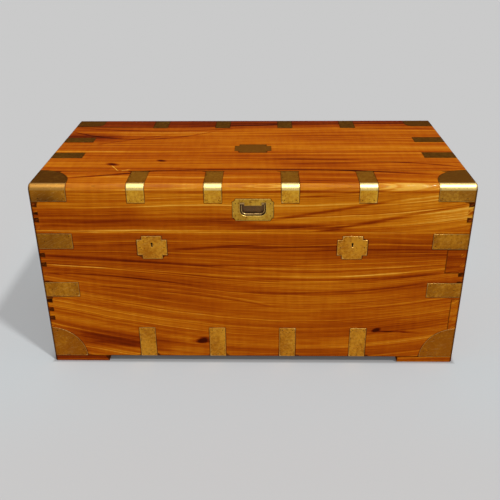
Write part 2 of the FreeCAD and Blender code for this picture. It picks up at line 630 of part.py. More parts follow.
class FlushHandle:
    """A notched plate with a D-shaped pan behind it, and the bail that swings in the pan.

    It is built about the middle of the plate's face, with Y going into the wood, then turned and placed.
    kind names its sizes on the sheet."""

    def __init__(self, kind, name, place, turn):
        self.kind, self.name = kind, name
        self.half = f"{kind}_recess_width/2"
        self.top = f"({kind}_plate_height/2 - {kind}_recess_drop)"
        self.low = f"({self.top} - {kind}_recess_height)"
        self.eye_top = f"({self.top} + {kind}_eye_height)"
        self.depth = f"{kind}_pan_depth"
        self.axle = (f"{kind}_axle_depth", f"({self.eye_top} - {kind}_eye_radius - eye_gap)")
        holes = self.pins("hole", "pin_fit")
        pan = self.pan(f"{name}_pan", "pan_wall", self.depth)
        pan_room = self.pan(f"{name}_pan_room", "(pan_wall + inlay_gap)", f"{self.depth} + inlay_gap")
        self.plate = cut(f"{name}_plate", fuse(f"{name}_cast", self.face(f"{name}_face", "0"), pan),
                         self.hollow(), self.axle_bores(), group(f"{name}_holes", holes))
        self.room = fuse(f"{name}_room", self.face(f"{name}_face_room", "inlay_gap"), pan_room, *holes)
        self.bail = self.swing_bail()
        self.pin_set = group(f"{name}_pins", self.pins("pin", "0"))
        for piece in (self.plate, self.room, self.bail, self.pin_set):
            piece.Placement = FreeCAD.Placement(FreeCAD.Vector(), turn)
            move(piece, place)
        sub_part(self.plate, f"{name}_plate")
        sub_part(self.bail, f"{name}_bail")

    def face(self, name, grow):
        """The flat plate, with a round bite out of each corner."""
        wide, high = f"{self.kind}_plate_width/2", f"{self.kind}_plate_height/2"
        blank = box(f"{name}_blank", about("0", f"{wide} + {grow}"), ("0", f"plate_thick + {grow}"),
                    about("0", f"{high} + {grow}"))
        bites = [rod(f"{name}_bite_{corner}", (f"{sx}*{wide}", "-over", f"{sz}*{high}"), "y",
                     f"{self.kind}_plate_notch - {grow}", "plate_thick + 2*over")
                 for corner, (sx, sz) in CORNERS.items()]
        return cut(name, blank, group(f"{name}_bites", bites))

    def pan(self, name, grow, depth):
        """The pan's outside, or the room for it, round the D and the eyes of the bail."""
        outline = rectangle(about("0", f"{self.half} + {grow}"),
                            (f"{self.low} - {grow}", f"{self.eye_top} + {grow}"))
        return round_edges(prism(name, "XZ_Plane", outline, "0", depth), f"{self.kind}_recess_round + {grow}",
                           ("XMin", "ZMin"), ("XMax", "ZMin"))

    def hollow(self):
        """What the pan holds: the D-shaped recess and a square notch for each eye of the bail."""
        deep = ("-over", f"{self.depth} - pan_wall")
        outline = rectangle(about("0", self.half), (self.low, self.top))
        recess = prism(f"{self.name}_recess", "XZ_Plane", outline, *deep)
        round_edges(recess, f"{self.kind}_recess_round", ("XMin", "ZMin"), ("XMax", "ZMin"))
        near, zs = f"{self.half} - {self.kind}_eye_width - 2*eye_gap", (f"{self.top} - over", self.eye_top)
        eyes = [box(f"{self.name}_eye_{side}", span(sign, near, self.half), deep, zs)
                for side, sign in SIDES.items()]
        return fuse(f"{self.name}_hollow", recess, *eyes)

    def axle_bores(self):
        """The bores for the bail's trunnions in the pan's two side walls."""
        return group(f"{self.name}_bores", [
            rod(f"{self.name}_bore_{side}", (f"{sign}*({self.half} - eye_gap)", *self.axle), way,
                "trunnion + trunnion_fit", "pan_wall + over")
            for (side, sign), way in zip(SIDES.items(), ("-x", "x"))])

    def pins(self, tag, grow):
        """The four pins near the plate's corners, or the holes for them."""
        wide = f"({self.kind}_plate_width/2 - plate_pin_inset)"
        high = f"({self.kind}_plate_height/2 - plate_pin_drop)"
        size = (f"brass_pin + {grow}", f"brass_pin_long + {grow}")
        return [rod(f"{self.name}_{tag}_{corner}", (f"{sx}*{wide}", "0", f"{sz}*{high}"), "y", *size)
                for corner, (sx, sz) in CORNERS.items()]

    def swing_bail(self):
        """The bail: a bent wire with a barrel and a trunnion at each end."""
        wire = f"{self.kind}_wire"
        arm = f"({self.half} - bail_gap - {wire})"
        drop = f"({self.axle[1]} - {self.low} - bail_gap - {wire})"
        path = DOC.addObject("Sketcher::SketchObject", f"{self.name}_bail_path")
        path.Placement = FreeCAD.Placement(FreeCAD.Vector(), TURNS["-y"])
        move(path, ("0", *self.axle))
        bent_path(path, arm, drop, f"({self.kind}_recess_round - bail_gap - {wire})")
        section = DOC.addObject("Part::Circle", f"{self.name}_bail_section")
        bind(section, "Radius", wire)
        move(section, (f"-{arm}", *self.axle))
        sweep = DOC.addObject("Part::Sweep", f"{self.name}_bail_wire")
        sweep.Sections = [section]
        sweep.Spine = (path, [])
        sweep.Solid = True
        pieces = [sweep]
        for (side, sign), way in zip(SIDES.items(), ("x", "-x")):
            outer, end = f"{sign}*({self.half} - eye_gap)", f"{sign}*({self.half} + pan_wall - eye_gap/2)"
            pieces.append(rod(f"{self.name}_barrel_{side}", (outer, *self.axle), way,
                              f"{self.kind}_eye_radius", f"{self.kind}_eye_width"))
            pieces.append(rod(f"{self.name}_trunnion_{side}", (end, *self.axle), way,
                              "trunnion", "pan_wall + 2*eye_gap"))
        return fuse(f"{self.name}_bail", *pieces)


def bent_path(path, arm, drop, bend):
    """Down from the axle, round, along, round and up again, as lines and arcs in a sketch's own plane."""
    a, d, b = value(arm), value(drop), value(bend)
    west, south, east = math.pi, 1.5 * math.pi, 2 * math.pi
    corners = ((-a, 0), (-a, b - d), (b - a, -d), (a - b, -d), (a, b - d), (a, 0))
    spots = [FreeCAD.Vector(*corner, 0) for corner in corners]
    left, right = (Part.Circle(FreeCAD.Vector(x, b - d, 0), FreeCAD.Vector(0, 0, 1), b) for x in (b - a, a - b))
    for piece in (Part.LineSegment(spots[0], spots[1]), Part.ArcOfCircle(left, west, south),
                  Part.LineSegment(spots[2], spots[3]), Part.ArcOfCircle(right, south, east),
                  Part.LineSegment(spots[4], spots[5])):
        path.addGeometry(piece, False)
    for number in range(4):
        path.addConstraint(Sketcher.Constraint("Tangent", number, 2, number + 1, 1))
    for rule in (("Vertical", 0), ("Horizontal", 2), ("Vertical", 4), ("Equal", 1, 3)):
        path.addConstraint(Sketcher.Constraint(*rule))
    for kind, where, words in (("DistanceX", (-1, 1, 0, 1), f"-{arm}"), ("DistanceY", (-1, 1, 0, 1), "0"),
                               ("DistanceX", (-1, 1, 4, 2), arm), ("DistanceY", (-1, 1, 4, 2), "0"),
                               ("DistanceY", (-1, 1, 2, 1), f"-{drop}"), ("Radius", (1,), bend)):
        dimension(path, kind, where, words)


# ---------------------------------------------------------------- boards

def dovetailed(name, thick, end_thick, low, high, pins, back_face):
    """A front or back board as long as the chest, with sockets in both ends for the end boards' pins."""
    rise = f"(({high}) - ({low}))"
    body = DOC.addObject("PartDesign::Body", name)
    outline = sketch(body, f"{name}_outline", "XZ_Plane")
    polygon(outline, rectangle(about("0", END), ("0", rise)))
    board = body.newObject("PartDesign::Pad", f"{name}_board")
    board.Profile = outline
    bind(board, "Length", thick)
    ends = sketch(body, f"{name}_sockets", "XZ_Plane")
    middle = f"{rise}/(2*{pins})"
    for sign in SIDES.values():
        tip, root = f"{sign}*({END})", f"{sign}*({END} - {end_thick})"
        polygon(ends, [(tip, f"{middle} - pin_tip/2"), (root, f"{middle} - pin_root/2"),
                       (root, f"{middle} + pin_root/2"), (tip, f"{middle} + pin_tip/2")])
    socket = body.newObject("PartDesign::Pocket", f"{name}_socket")
    socket.Profile = ends
    socket.Type = "ThroughAll"
    socket.Reversed = True
    row = body.newObject("PartDesign::LinearPattern", f"{name}_row")
    row.Originals = [socket]
    row.Direction = (origin_feature(body, "Z_Axis"), [""])
    row.Mode = "Spacing"
    bind(row, "Offset", f"{rise}/{pins}")
    bind(row, "Occurrences", pins)
    body.Tip = row
    return move(body, ("0", back_face, low))


def end_blank(name, side, thick, zs, *boards):
    """An end board or rail, whose pins are what the front and back boards leave of it."""
    blank = box(f"{name}_blank", span(SIDES[side], f"{END} - {thick}", END), (FRONT, BACK), zs)
    return cut(f"{name}_pins", blank, *boards)


def wood(half, name, blank, *tools):
    """A board trimmed to the chest's outside, with its sockets and holes cut."""
    trimmed = common(f"{name}_trimmed", blank, OUTSIDE)
    return sub_part(cut(f"{name}_board", trimmed, BRASS_ROOMS[half], PIN_HOLES[half], *tools), name)


def foot(corner, sx, sy):
    """One of the low blocks under the corners."""
    name = f"foot_{corner}"
    outline = rectangle(span(sx, f"{END} - foot_length", END), span(sy, f"{BACK} - foot_width", BACK))
    block = prism(name, "XY_Plane", outline, "0", "foot_height")
    round_edges(block, "end_radius", ("XMin" if sx < 0 else "XMax", "YMin" if sy < 0 else "YMax"))
    return sub_part(round_edges(block, "foot_ease", ("ZMin",)), name)


def dust_lips():
    """Strips inside the front and the ends that stand above the seam, eased where the lid comes down."""
    zs = (f"{SEAM} + lip_rise - lip_height", f"{SEAM} + lip_rise")
    inner = f"{FRONT} + wall"
    front = prism("lip_front", "YZ_Plane", rectangle((inner, f"{inner} + lip_thick"), zs),
                  f"-({END}) + wall", f"{END} - wall")
    sub_part(round_edges(front, "lip_ease", ("YMin", "ZMax")), "dust_lip_front")
    for (side, sign), outer in zip(SIDES.items(), ("XMin", "XMax")):
        outline = rectangle(span(sign, f"{END} - wall - lip_thick", f"{END} - wall"), zs)
        lip = prism(f"lip_{side}", "XZ_Plane", outline, f"{inner} + lip_thick", f"{BACK} - wall")
        sub_part(round_edges(lip, "lip_ease", (outer, "ZMax")), f"dust_lip_{side}")


# ---------------------------------------------------------------- making the brass

lid_edge_straps("lid_straps_front", -1, "front_arm", "front_top_arm")
lid_edge_straps("lid_straps_back", 1, "back_arm", "back_top_arm")
lid_end_straps("lid_straps_ends")
base_straps("base_straps_front", -1)
base_straps("base_straps_back", 1)
base_end_straps("base_straps_ends")
for corner_name, (side_x, side_y) in CORNERS.items():
    corner_straps(corner_name, side_x, side_y)
    base_corner(corner_name, side_x, side_y)
    lid_corner(corner_name, side_x, side_y)
cartouche()
LOCK_MIDDLES = {side: f"{sign}*lock_place" for side, sign in SIDES.items()}
for side_name, place in LOCK_MIDDLES.items():
    escutcheon(side_name, place)

# ---------------------------------------------------------------- making the locks

lock_rooms, lock_caps, keeper_holes = [], [], {}
for side_name, place in LOCK_MIDDLES.items():
    lock_room, lock_cap = lock(side_name, place)
    lock_rooms.append(lock_room)
    lock_caps.append(lock_cap)
    sub_part(bolt(side_name, place), f"lock_bolt_{side_name}")
    keeper_holes[side_name] = group(f"keeper_holes_{side_name}",
                                    keeper_screws(side_name, place, "screw_fit", "hole"))
    sub_part(keeper(side_name, place, keeper_holes[side_name]), f"lock_keeper_{side_name}")
sub_part(group("lock_cap_pair", lock_caps), "lock_caps")

# ---------------------------------------------------------------- making the hinges

HINGE_HOLES = {tag: group(f"hinge_holes_{tag}", hinge_screws(tag, "screw_fit", "hole")) for tag in LEAVES}
LEAF_PAIRS = {tag: group(f"{tag}_leaf_pair", [hinge_leaf(tag, side, f"{sign}*hinge_place", HINGE_HOLES[tag])
                                              for side, sign in SIDES.items()]) for tag in LEAVES}
for leaf_tag, leaf_pair in LEAF_PAIRS.items():
    sub_part(leaf_pair, f"hinge_{leaf_tag}_leaves")
sub_part(hinge_axis_rods("hinge_pin_pair", "hinge_pin", "0"), "hinge_pins")
BARREL_ROOM = hinge_axis_rods("barrel_room", "hinge_barrel + barrel_relief", "knuckle_gap")

# ---------------------------------------------------------------- making the handles and the fixings

FRONT_HANDLE = FlushHandle("front", "front_handle",
                           ("front_handle_place", FRONT, "chest_height - front_handle_drop"), FreeCAD.Rotation())
END_HANDLES = {}
for side_name, side_sign in SIDES.items():
    END_HANDLES[side_name] = FlushHandle("side", f"{side_name}_handle",
                                         (f"{side_sign}*({END})", "0", f"{SEAM} - side_handle_drop"),
                                         FreeCAD.Rotation(FreeCAD.Vector(0, 0, 1), side_sign * 90))
HANDLES = {"carcass": list(END_HANDLES.values()), "lid": [FRONT_HANDLE]}


def pin_rods(half, tag, grow):
    """All the brass pins of the carcass or the lid outside the handles, or the holes for them."""
    rods = []
    for number, (face, across, up, length) in enumerate(PIN_SPOTS[half]):
        start, way = FACES[face](across, up)
        rods.append(rod(f"{half}_{tag}{number}", start, way, f"brass_pin + {grow}", f"{length} + {grow}"))
    return rods


PIN_HOLES = {half: group(f"{half}_pin_holes", pin_rods(half, "hole", "pin_fit")) for half in PIN_SPOTS}
BRASS_ROOMS = {half: group(f"{half}_rooms", sockets) for half, sockets in SOCKETS.items()}
for half_name in ("carcass", "lid"):
    pin_set = pin_rods(half_name, "pin", "0") + [handle.pin_set for handle in HANDLES[half_name]]
    sub_part(group(f"{half_name}_pin_set", pin_set), f"{half_name}_brass_pins")
    for sheet_name, brass_sheet in BRASS[half_name]:
        sub_part(cut(f"{sheet_name}_drilled", brass_sheet, PIN_HOLES[half_name]), sheet_name)
lid_screw_set = hinge_screws("upper", "0", "screw")
for side_name, place in LOCK_MIDDLES.items():
    lid_screw_set += keeper_screws(side_name, place, "0", "screw")
sub_part(group("carcass_screw_set", hinge_screws("lower", "0", "screw")), "carcass_screws")
sub_part(group("lid_screw_set", lid_screw_set), "lid_screws")

# ---------------------------------------------------------------- making the carcass of boards

# the V-groove along the back seam; its faces meet when the lid is fully open
groove_outline = [(HINGE_Y, SEAM), (f"{HINGE_Y} + 2*bevel_depth", f"{SEAM} - 2*bevel_height"),
                  (f"{HINGE_Y} + 2*bevel_depth", f"{SEAM} + 2*bevel_height")]
GROOVE = prism("back_groove", "YZ_Plane", groove_outline, f"-({END}) - over", f"{END} + over")
CARCASS_Z = ("foot_height", SEAM)
FRONT_BLANK = dovetailed("front_blank", "wall", "wall", *CARCASS_Z, "carcass_pins", f"{FRONT} + wall")
BACK_BLANK = dovetailed("back_blank", "wall", "wall", *CARCASS_Z, "carcass_pins", BACK)
board_keyholes = [keyhole(f"board_{side}", middle) for side, middle in LOCK_MIDDLES.items()]
wood("carcass", "front_board", FRONT_BLANK, group("lock_rooms", lock_rooms), group("board_keyholes", board_keyholes))
wood("carcass", "back_board", BACK_BLANK, GROOVE, BARREL_ROOM, LEAF_PAIRS["lower"], HINGE_HOLES["lower"])
for side_name, handle in END_HANDLES.items():
    end_name = f"{side_name}_end_board"
    end_board = end_blank(end_name, side_name, "wall", CARCASS_Z, FRONT_BLANK, BACK_BLANK)
    wood("carcass", end_name, end_board, GROOVE, handle.room)
FLOOR_SPOTS = (f"{FRONT} + wall", f"{FRONT} + wall + floor_plank", f"{BACK} - wall")
for plank, plank_ys in (("front", FLOOR_SPOTS[:2]), ("back", FLOOR_SPOTS[1:])):
    plank_blank = box(f"bottom_{plank}_blank", about("0", f"{END} - wall"), plank_ys,
                      ("foot_height", "foot_height + floor_board"))
    wood("carcass", f"bottom_plank_{plank}", plank_blank)
for corner_name, (side_x, side_y) in CORNERS.items():
    foot(corner_name, side_x, side_y)
dust_lips()

# ---------------------------------------------------------------- making the lid

LID_Z = (SEAM, RAIL_TOP)
LID_FRONT_BLANK = dovetailed("lid_front_blank", LID_WALL, LID_WALL, *LID_Z, "lid_pins",
                             f"{FRONT} + {LID_WALL}")
LID_BACK_BLANK = dovetailed("lid_back_blank", LID_WALL, LID_WALL, *LID_Z, "lid_pins", BACK)
keeper_rooms = [keeper_room(side, middle) for side, middle in LOCK_MIDDLES.items()]
wood("lid", "lid_front_rail", LID_FRONT_BLANK, FRONT_HANDLE.room, group("keeper_rooms", keeper_rooms),
     group("keeper_holes", list(keeper_holes.values())))
wood("lid", "lid_back_rail", LID_BACK_BLANK, GROOVE, BARREL_ROOM, LEAF_PAIRS["upper"], HINGE_HOLES["upper"])
for side_name in SIDES:
    rail_name = f"lid_{side_name}_rail"
    rail = end_blank(rail_name, side_name, LID_WALL, LID_Z, LID_FRONT_BLANK, LID_BACK_BLANK)
    wood("lid", rail_name, rail, GROOVE)
LID_JOINT = f"{FRONT} + front_plank"
for plank, plank_ys in (("front", (FRONT, LID_JOINT)), ("back", (LID_JOINT, BACK))):
    plank_blank = box(f"lid_top_{plank}_blank", about("0", END), plank_ys, (RAIL_TOP, "chest_height"))
    wood("lid", f"lid_top_{plank}_plank", plank_blank)

# ---------------------------------------------------------------- check and write

DOC.recompute()
failed = [thing.Name for thing in DOC.Objects if {"Invalid", "Error"} & set(thing.State)]
failed += [f"{piece.Label} (shape)" for piece in PARTS if piece.Shape.isNull() or not piece.Shape.isValid()]
if failed:
    raise SystemExit(f"these objects failed: {failed}")
os.makedirs("parts", exist_ok=True)
for piece in PARTS:
    piece.Shape.exportStep(f"parts/{piece.Label}.step")
print(f"{len(PARTS)} sub-parts, {sum(len(piece.Shape.Solids) for piece in PARTS)} solids")
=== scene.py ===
"""Visual model of a brass-bound camphorwood campaign chest, built round its packed CAD frame."""

import logging
import math
from collections.abc import Callable, Iterable, Mapping, Sequence
from dataclasses import dataclass, field
from enum import Enum
from functools import cache, partial, partialmethod, reduce

import bmesh
import bpy
from mathutils import Matrix, Vector
from mathutils.kdtree import KDTree


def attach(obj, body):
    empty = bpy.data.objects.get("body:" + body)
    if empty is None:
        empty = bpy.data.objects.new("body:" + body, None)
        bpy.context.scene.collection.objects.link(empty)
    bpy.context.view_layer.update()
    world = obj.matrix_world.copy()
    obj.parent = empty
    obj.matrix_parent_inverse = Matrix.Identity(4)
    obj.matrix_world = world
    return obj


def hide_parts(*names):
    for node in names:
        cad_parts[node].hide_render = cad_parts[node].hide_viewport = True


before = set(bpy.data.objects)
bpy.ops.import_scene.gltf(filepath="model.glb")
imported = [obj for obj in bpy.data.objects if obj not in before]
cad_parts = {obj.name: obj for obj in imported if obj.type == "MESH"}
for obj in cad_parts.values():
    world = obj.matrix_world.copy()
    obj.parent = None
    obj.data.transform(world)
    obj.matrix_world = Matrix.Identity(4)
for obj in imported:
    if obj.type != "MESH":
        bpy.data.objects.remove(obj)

log = logging.getLogger("chest")
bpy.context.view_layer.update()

CORNERS = ("front_left", "front_right", "back_left", "back_right")
SIDES = ("left", "right")
HALF_LENGTH, HALF_DEPTH, HEIGHT = 0.520, 0.262, 0.496
SEAM = 0.378
TOP_JOINT = 0.476
NOSE_EDGE = -0.242


def link(name: str, data: bpy.types.ID) -> bpy.types.Object:
    """Put a new object in the scene.

    Args:
        name: its name.
        data: its mesh, lamp or camera.

    Returns:
        The object.
    """
    made = bpy.data.objects.new(name, data)
    bpy.context.scene.collection.objects.link(made)
    return made


# ---------------------------------------------------------------- node trees

class Wire:
    """The value of a node's socket, on which Python's operators add Math nodes."""

    def __init__(self, tree: "Tree", socket: bpy.types.NodeSocket) -> None:
        """Keep the socket and the tree that it is in."""
        self.tree = tree
        self.socket = socket

    def join(self, operation: str, other: "Value", swapped: bool = False) -> "Wire":
        """Add a Math node on this value and another, which comes first if they are swapped."""
        return self.tree.math(operation, *((other, self) if swapped else (self, other)))

    __add__, __radd__ = partialmethod(join, "ADD"), partialmethod(join, "ADD", swapped=True)
    __sub__, __rsub__ = partialmethod(join, "SUBTRACT"), partialmethod(join, "SUBTRACT", swapped=True)
    __mul__, __rmul__ = partialmethod(join, "MULTIPLY"), partialmethod(join, "MULTIPLY", swapped=True)
    __pow__ = partialmethod(join, "POWER")

    def __abs__(self) -> "Wire":
        """The value without its sign."""
        return self.tree.math("ABSOLUTE", self)


Value = Wire | float
Spot = tuple[float, float]
Triple = tuple[float, float, float]


class Tree:
    """A node tree to which every node is added by one method."""

    def __init__(self, nodes: bpy.types.NodeTree) -> None:
        """Start with an empty tree."""
        self.nodes = nodes
        nodes.nodes.clear()

    def node(self, kind: str, settings: Mapping | None = None,
             sockets: Mapping | None = None) -> bpy.types.Node:
        """Add a node.

        Args:
            kind: the node's type.
            settings: its properties by name; "stops" gives a colour ramp's stops as (place, colour).
            sockets: what its inputs get, by name or number: a Wire, a list of them where the input takes
                several, or a value of the socket's own kind.

        Returns:
            The node.
        """
        node = self.nodes.nodes.new(kind)
        for name, setting in (settings or {}).items():
            if name == "stops":
                self.set_stops(node.color_ramp, setting)
            else:
                setattr(node, name, setting)
        for key, value in (sockets or {}).items():
            if isinstance(value, (Wire, list)):
                for wire in value if isinstance(value, list) else [value]:
                    self.nodes.links.new(wire.socket, node.inputs[key])
            else:
                node.inputs[key].default_value = value
        return node

    @staticmethod
    def set_stops(ramp: bpy.types.ColorRamp, stops: Sequence[tuple[float, Triple]]) -> None:
        """Give a colour ramp its stops.

        Args:
            ramp: the ramp.
            stops: the place and the colour of each.
        """
        while len(ramp.elements) < len(stops):
            ramp.elements.new(1.0)
        for element, (place, tint) in zip(ramp.elements, stops):
            element.position = place
            element.color = (*tint, 1.0)

    def out(self, kind: str, settings: Mapping | None = None, sockets: Mapping | None = None,
            output: str | int = 0) -> Wire:
        """Add a node as `node` does, and return one of its outputs."""
        return Wire(self, self.node(kind, settings, sockets).outputs[output])

    def outputs(self, node: bpy.types.Node, *keys: str | int) -> tuple[Wire, ...]:
        """Several outputs of one node."""
        return tuple(Wire(self, node.outputs[key]) for key in keys)

    def math(self, operation: str, *values: Value) -> Wire:
        """Add a Math node on one to three values."""
        return self.out("ShaderNodeMath", {"operation": operation}, dict(enumerate(values)))

    def most(self, *values: Value) -> Wire:
        """The greatest of some values."""
        return reduce(partial(self.math, "MAXIMUM"), values)

    def least(self, *values: Value) -> Wire:
        """The least of some values."""
        return reduce(partial(self.math, "MINIMUM"), values)

    def vector(self, x: Value = 0.0, y: Value = 0.0, z: Value = 0.0) -> Wire:
        """A vector made of its three parts."""
        return self.out("ShaderNodeCombineXYZ", sockets={0: x, 1: y, 2: z})

    def parts(self, vector: Wire) -> tuple[Wire, ...]:
        """The three parts of a vector."""
        return self.outputs(self.node("ShaderNodeSeparateXYZ", sockets={0: vector}), 0, 1, 2)


class Paint(Tree):
    """A material's nodes, with the textures that the finishes share."""

    LYING_EDGE = (0.0052, 0.0022)
    UPRIGHT_EDGE = (0.0070, 0.0030)

    def __init__(self, name: str) -> None:
        """Start a material that has an empty tree.

        Args:
            name: the material's name.
        """
        self.material = bpy.data.materials.new(name)
        self.material.use_nodes = True
        super().__init__(self.material.node_tree)
        self.place = self.node("ShaderNodeTexCoord")

    def axes(self, output: str = "Object") -> tuple[Wire, ...]:
        """X, Y and Z of the point, or of the surface's direction if output is Normal."""
        return self.parts(*self.outputs(self.place, output))

    def noise(self, x: Value, y: Value, z: Value = 0.0, detail: float = 2.0, rough: float = 0.5) -> Wire:
        """Noise about 0.5 at a place, one unit across."""
        return self.out("ShaderNodeTexNoise", sockets={"Vector": self.vector(x, y, z), "Scale": 1.0,
                                                       "Detail": detail, "Roughness": rough})

    def mottle(self, scale: float, seed: float = 0.0, detail: float = 2.0, rough: float = 0.5) -> Wire:
        """Noise about 0.5, the same in all directions, with so many units to the metre."""
        x, y, z = self.axes()
        return self.noise(x * scale, y * scale, z * scale + seed, detail, rough)

    def fade(self, value: Value, low: float, high: float, start: float = 0.0, end: float = 1.0) -> Wire:
        """A smooth change from start to end as the value goes from low to high."""
        return self.out("ShaderNodeMapRange", {"interpolation_type": "SMOOTHSTEP"},
                        {0: value, 1: low, 2: high, 3: start, 4: end})

    def between(self, value: Value, rise: tuple[float, float], fall: tuple[float, float]) -> Wire:
        """1 between a smooth rise and a smooth fall, each given as where it is 0 and where it is 1."""
        return self.fade(value, *rise) * self.fade(value, *fall)

    def hill(self, value: Value, middle: float, half: float) -> Wire:
        """1 at the middle, falling smoothly to 0 at half a width on both sides."""
        return self.fade(abs(value - middle), half, 0.0)

    def ramp(self, value: Value, *stops: tuple[float, Triple]) -> Wire:
        """A colour that the value picks between stops."""
        return self.out("ShaderNodeValToRGB", {"stops": stops}, {0: value})

    def blend(self, factor: Value, first: Wire | Triple, second: Wire | Triple) -> Wire:
        """A mix of two colours."""
        first, second = (tint if isinstance(tint, Wire) else (*tint, 1.0) for tint in (first, second))
        return self.out("ShaderNodeMix", {"data_type": "RGBA"},
                        {"Factor": factor, "A": first, "B": second}, "Result")

    def attribute(self, name: str) -> Wire:
        """A number that is stored on the mesh."""
        return self.out("ShaderNodeAttribute", {"attribute_name": name}, output="Fac")

    def bump(self, height: Value, strength: float, distance: float) -> Wire:
        """A normal tilted by a height."""
        return self.out("ShaderNodeBump",
                        sockets={"Height": height, "Strength": strength, "Distance": distance})

    def insets(self) -> tuple[Wire, Wire, Wire]:
        """How far a point is in from the chest's ends, from its front or back, and from its top."""
        x, y, z = self.axes()
        return HALF_LENGTH - abs(x), HALF_DEPTH - abs(y), HEIGHT - z

    def depth(self) -> Wire:
        """How far a point is below the chest's outer faces."""
        return self.least(*self.insets())

    def painted_edge_shade(self) -> Wire:
        """1 on the outer edges of the chest's box, where hands leave dirt, and 0 a little way from them."""
        ends, sides, top = self.insets()
        return self.most(self.fade(self.most(self.least(ends, sides), top), *self.LYING_EDGE),
                         self.fade(self.most(ends, sides), *self.UPRIGHT_EDGE))

    def finish(self, **sockets: Wire | float) -> bpy.types.Material:
        """Add the surface shader and the output.

        Args:
            sockets: the shader's inputs, with _ for a space in each name.

        Returns:
            The material.
        """
        named = {name.replace("_", " "): value for name, value in sockets.items()}
        shader = self.out("ShaderNodeBsdfPrincipled", sockets=named)
        self.node("ShaderNodeOutputMaterial", sockets={"Surface": shader})
        return self.material


class Shape(Tree):
    """A Geometry Nodes tree whose inputs have names."""

    def __init__(self, name: str, **sizes: float) -> None:
        """Start a tree that takes a mesh, a material and some sizes.

        Args:
            name: the tree's name.
            sizes: the number that each named size has unless another is given.
        """
        super().__init__(bpy.data.node_groups.new(name, "GeometryNodeTree"))
        sockets = self.nodes.interface
        sockets.new_socket("Geometry", in_out="INPUT", socket_type="NodeSocketGeometry")
        sockets.new_socket("Material", in_out="INPUT", socket_type="NodeSocketMaterial")
        for size, value in sizes.items():
            sockets.new_socket(size, in_out="INPUT", socket_type="NodeSocketFloat").default_value = value
        sockets.new_socket("Geometry", in_out="OUTPUT", socket_type="NodeSocketGeometry")
        self.inputs = self.node("NodeGroupInput")

    def given(self, *names: str) -> tuple[Wire, ...]:
        """Some of the tree's inputs."""
        return self.outputs(self.inputs, *names)

    def join(self, *pieces: Wire) -> Wire:
        """Several pieces as one."""
        return self.out("GeometryNodeJoinGeometry", sockets={0: list(pieces)})

    def move(self, piece: Wire, place: Wire, turn: Wire | Triple = (0.0, 0.0, 0.0)) -> Wire:
        """A piece, turned and then moved."""
        return self.out("GeometryNodeTransform",
                        sockets={"Geometry": piece, "Translation": place, "Rotation": turn})

    def rod(self, sides: int, radius: Value, long: Value) -> Wire:
        """A closed cylinder that stands on its middle."""
        return self.out("GeometryNodeMeshCylinder", {"fill_type": "NGON"},
                        {"Vertices": sides, "Radius": radius, "Depth": long})

    def end(self, piece: Wire) -> None:
        """Make what is built real, give it the material, and hand it out.

        Args:
            piece: what is built.
        """
        real = self.out("GeometryNodeRealizeInstances", sockets={0: piece})
        (material,) = self.given("Material")
        done = self.out("GeometryNodeSetMaterial", sockets={"Geometry": real, "Material": material})
        self.node("NodeGroupOutput", sockets={0: done})

    def build(self, name: str, mesh: bpy.types.Mesh, material: bpy.types.Material,
              **sizes: float) -> bpy.types.Object:
        """Run the tree on a mesh and keep what comes out as a plain mesh.

        Args:
            name: the new piece's name.
            mesh: what the tree starts from.
            material: what the piece is made of.
            sizes: values for the named inputs.

        Returns:
            The piece, with no modifier left.
        """
        carrier = link(name, mesh)
        modifier = carrier.modifiers.new("shape", "NODES")
        modifier.node_group = self.nodes
        values = {"Material": material, **sizes}
        for item in self.nodes.interface.items_tree:
            if item.in_out == "INPUT" and item.name in values:
                modifier[item.identifier] = values[item.name]
        evaluated = carrier.evaluated_get(bpy.context.evaluated_depsgraph_get())
        made = bpy.data.meshes.new_from_object(evaluated)
        carrier.modifiers.clear()
        carrier.data = made
        made.name = name
        return carrier


def colour(red: int, green: int, blue: int) -> Triple:
    """A colour named by its screen values, 0 to 255, as the light values that a shader takes."""
    return tuple(c / 12.92 if c <= 0.04045 else ((c + 0.055) / 1.055) ** 2.4
                 for c in (part / 255 for part in (red, green, blue)))


# ---------------------------------------------------------------- finishes

class Grain(Enum):
    """The way that a board's fibres run."""

    ALONG_THE_LENGTH = "x"
    FRONT_TO_BACK = "y"


def on_front(x: float, z: float) -> Spot:
    """Where a point of the front is on its board, along and across the grain."""
    return x, -HALF_DEPTH - z


def on_top(x: float, y: float) -> Spot:
    """Where a point of the top is on its board, along and across the grain."""
    return x, y - HEIGHT


@dataclass(frozen=True)
class Knot:
    """A small dark knot, round which the grain bends."""

    place: Spot
    size: float
    pull: float = 0.004

    def bend(self, paint: Paint, along: Wire, across: Wire) -> Wire:
        """How far it pushes the growth lines aside at each point."""
        distance = ((along - self.place[0]) * 0.4) ** 2.0 + (across - self.place[1]) ** 2.0
        return paint.math("EXPONENT", distance * -(0.4 / self.size ** 2)) * self.pull

    def shade(self, paint: Paint, along: Wire, across: Wire, ripple: Wire) -> Wire:
        """How much it darkens each point."""
        x, y = along - self.place[0], across - self.place[1]
        return paint.fade(((x * 0.6) ** 2.0 + (y + x * 0.25) ** 2.0) ** 0.5 + ripple * 0.008,
                          1.7 * self.size, 0.0) * 0.8


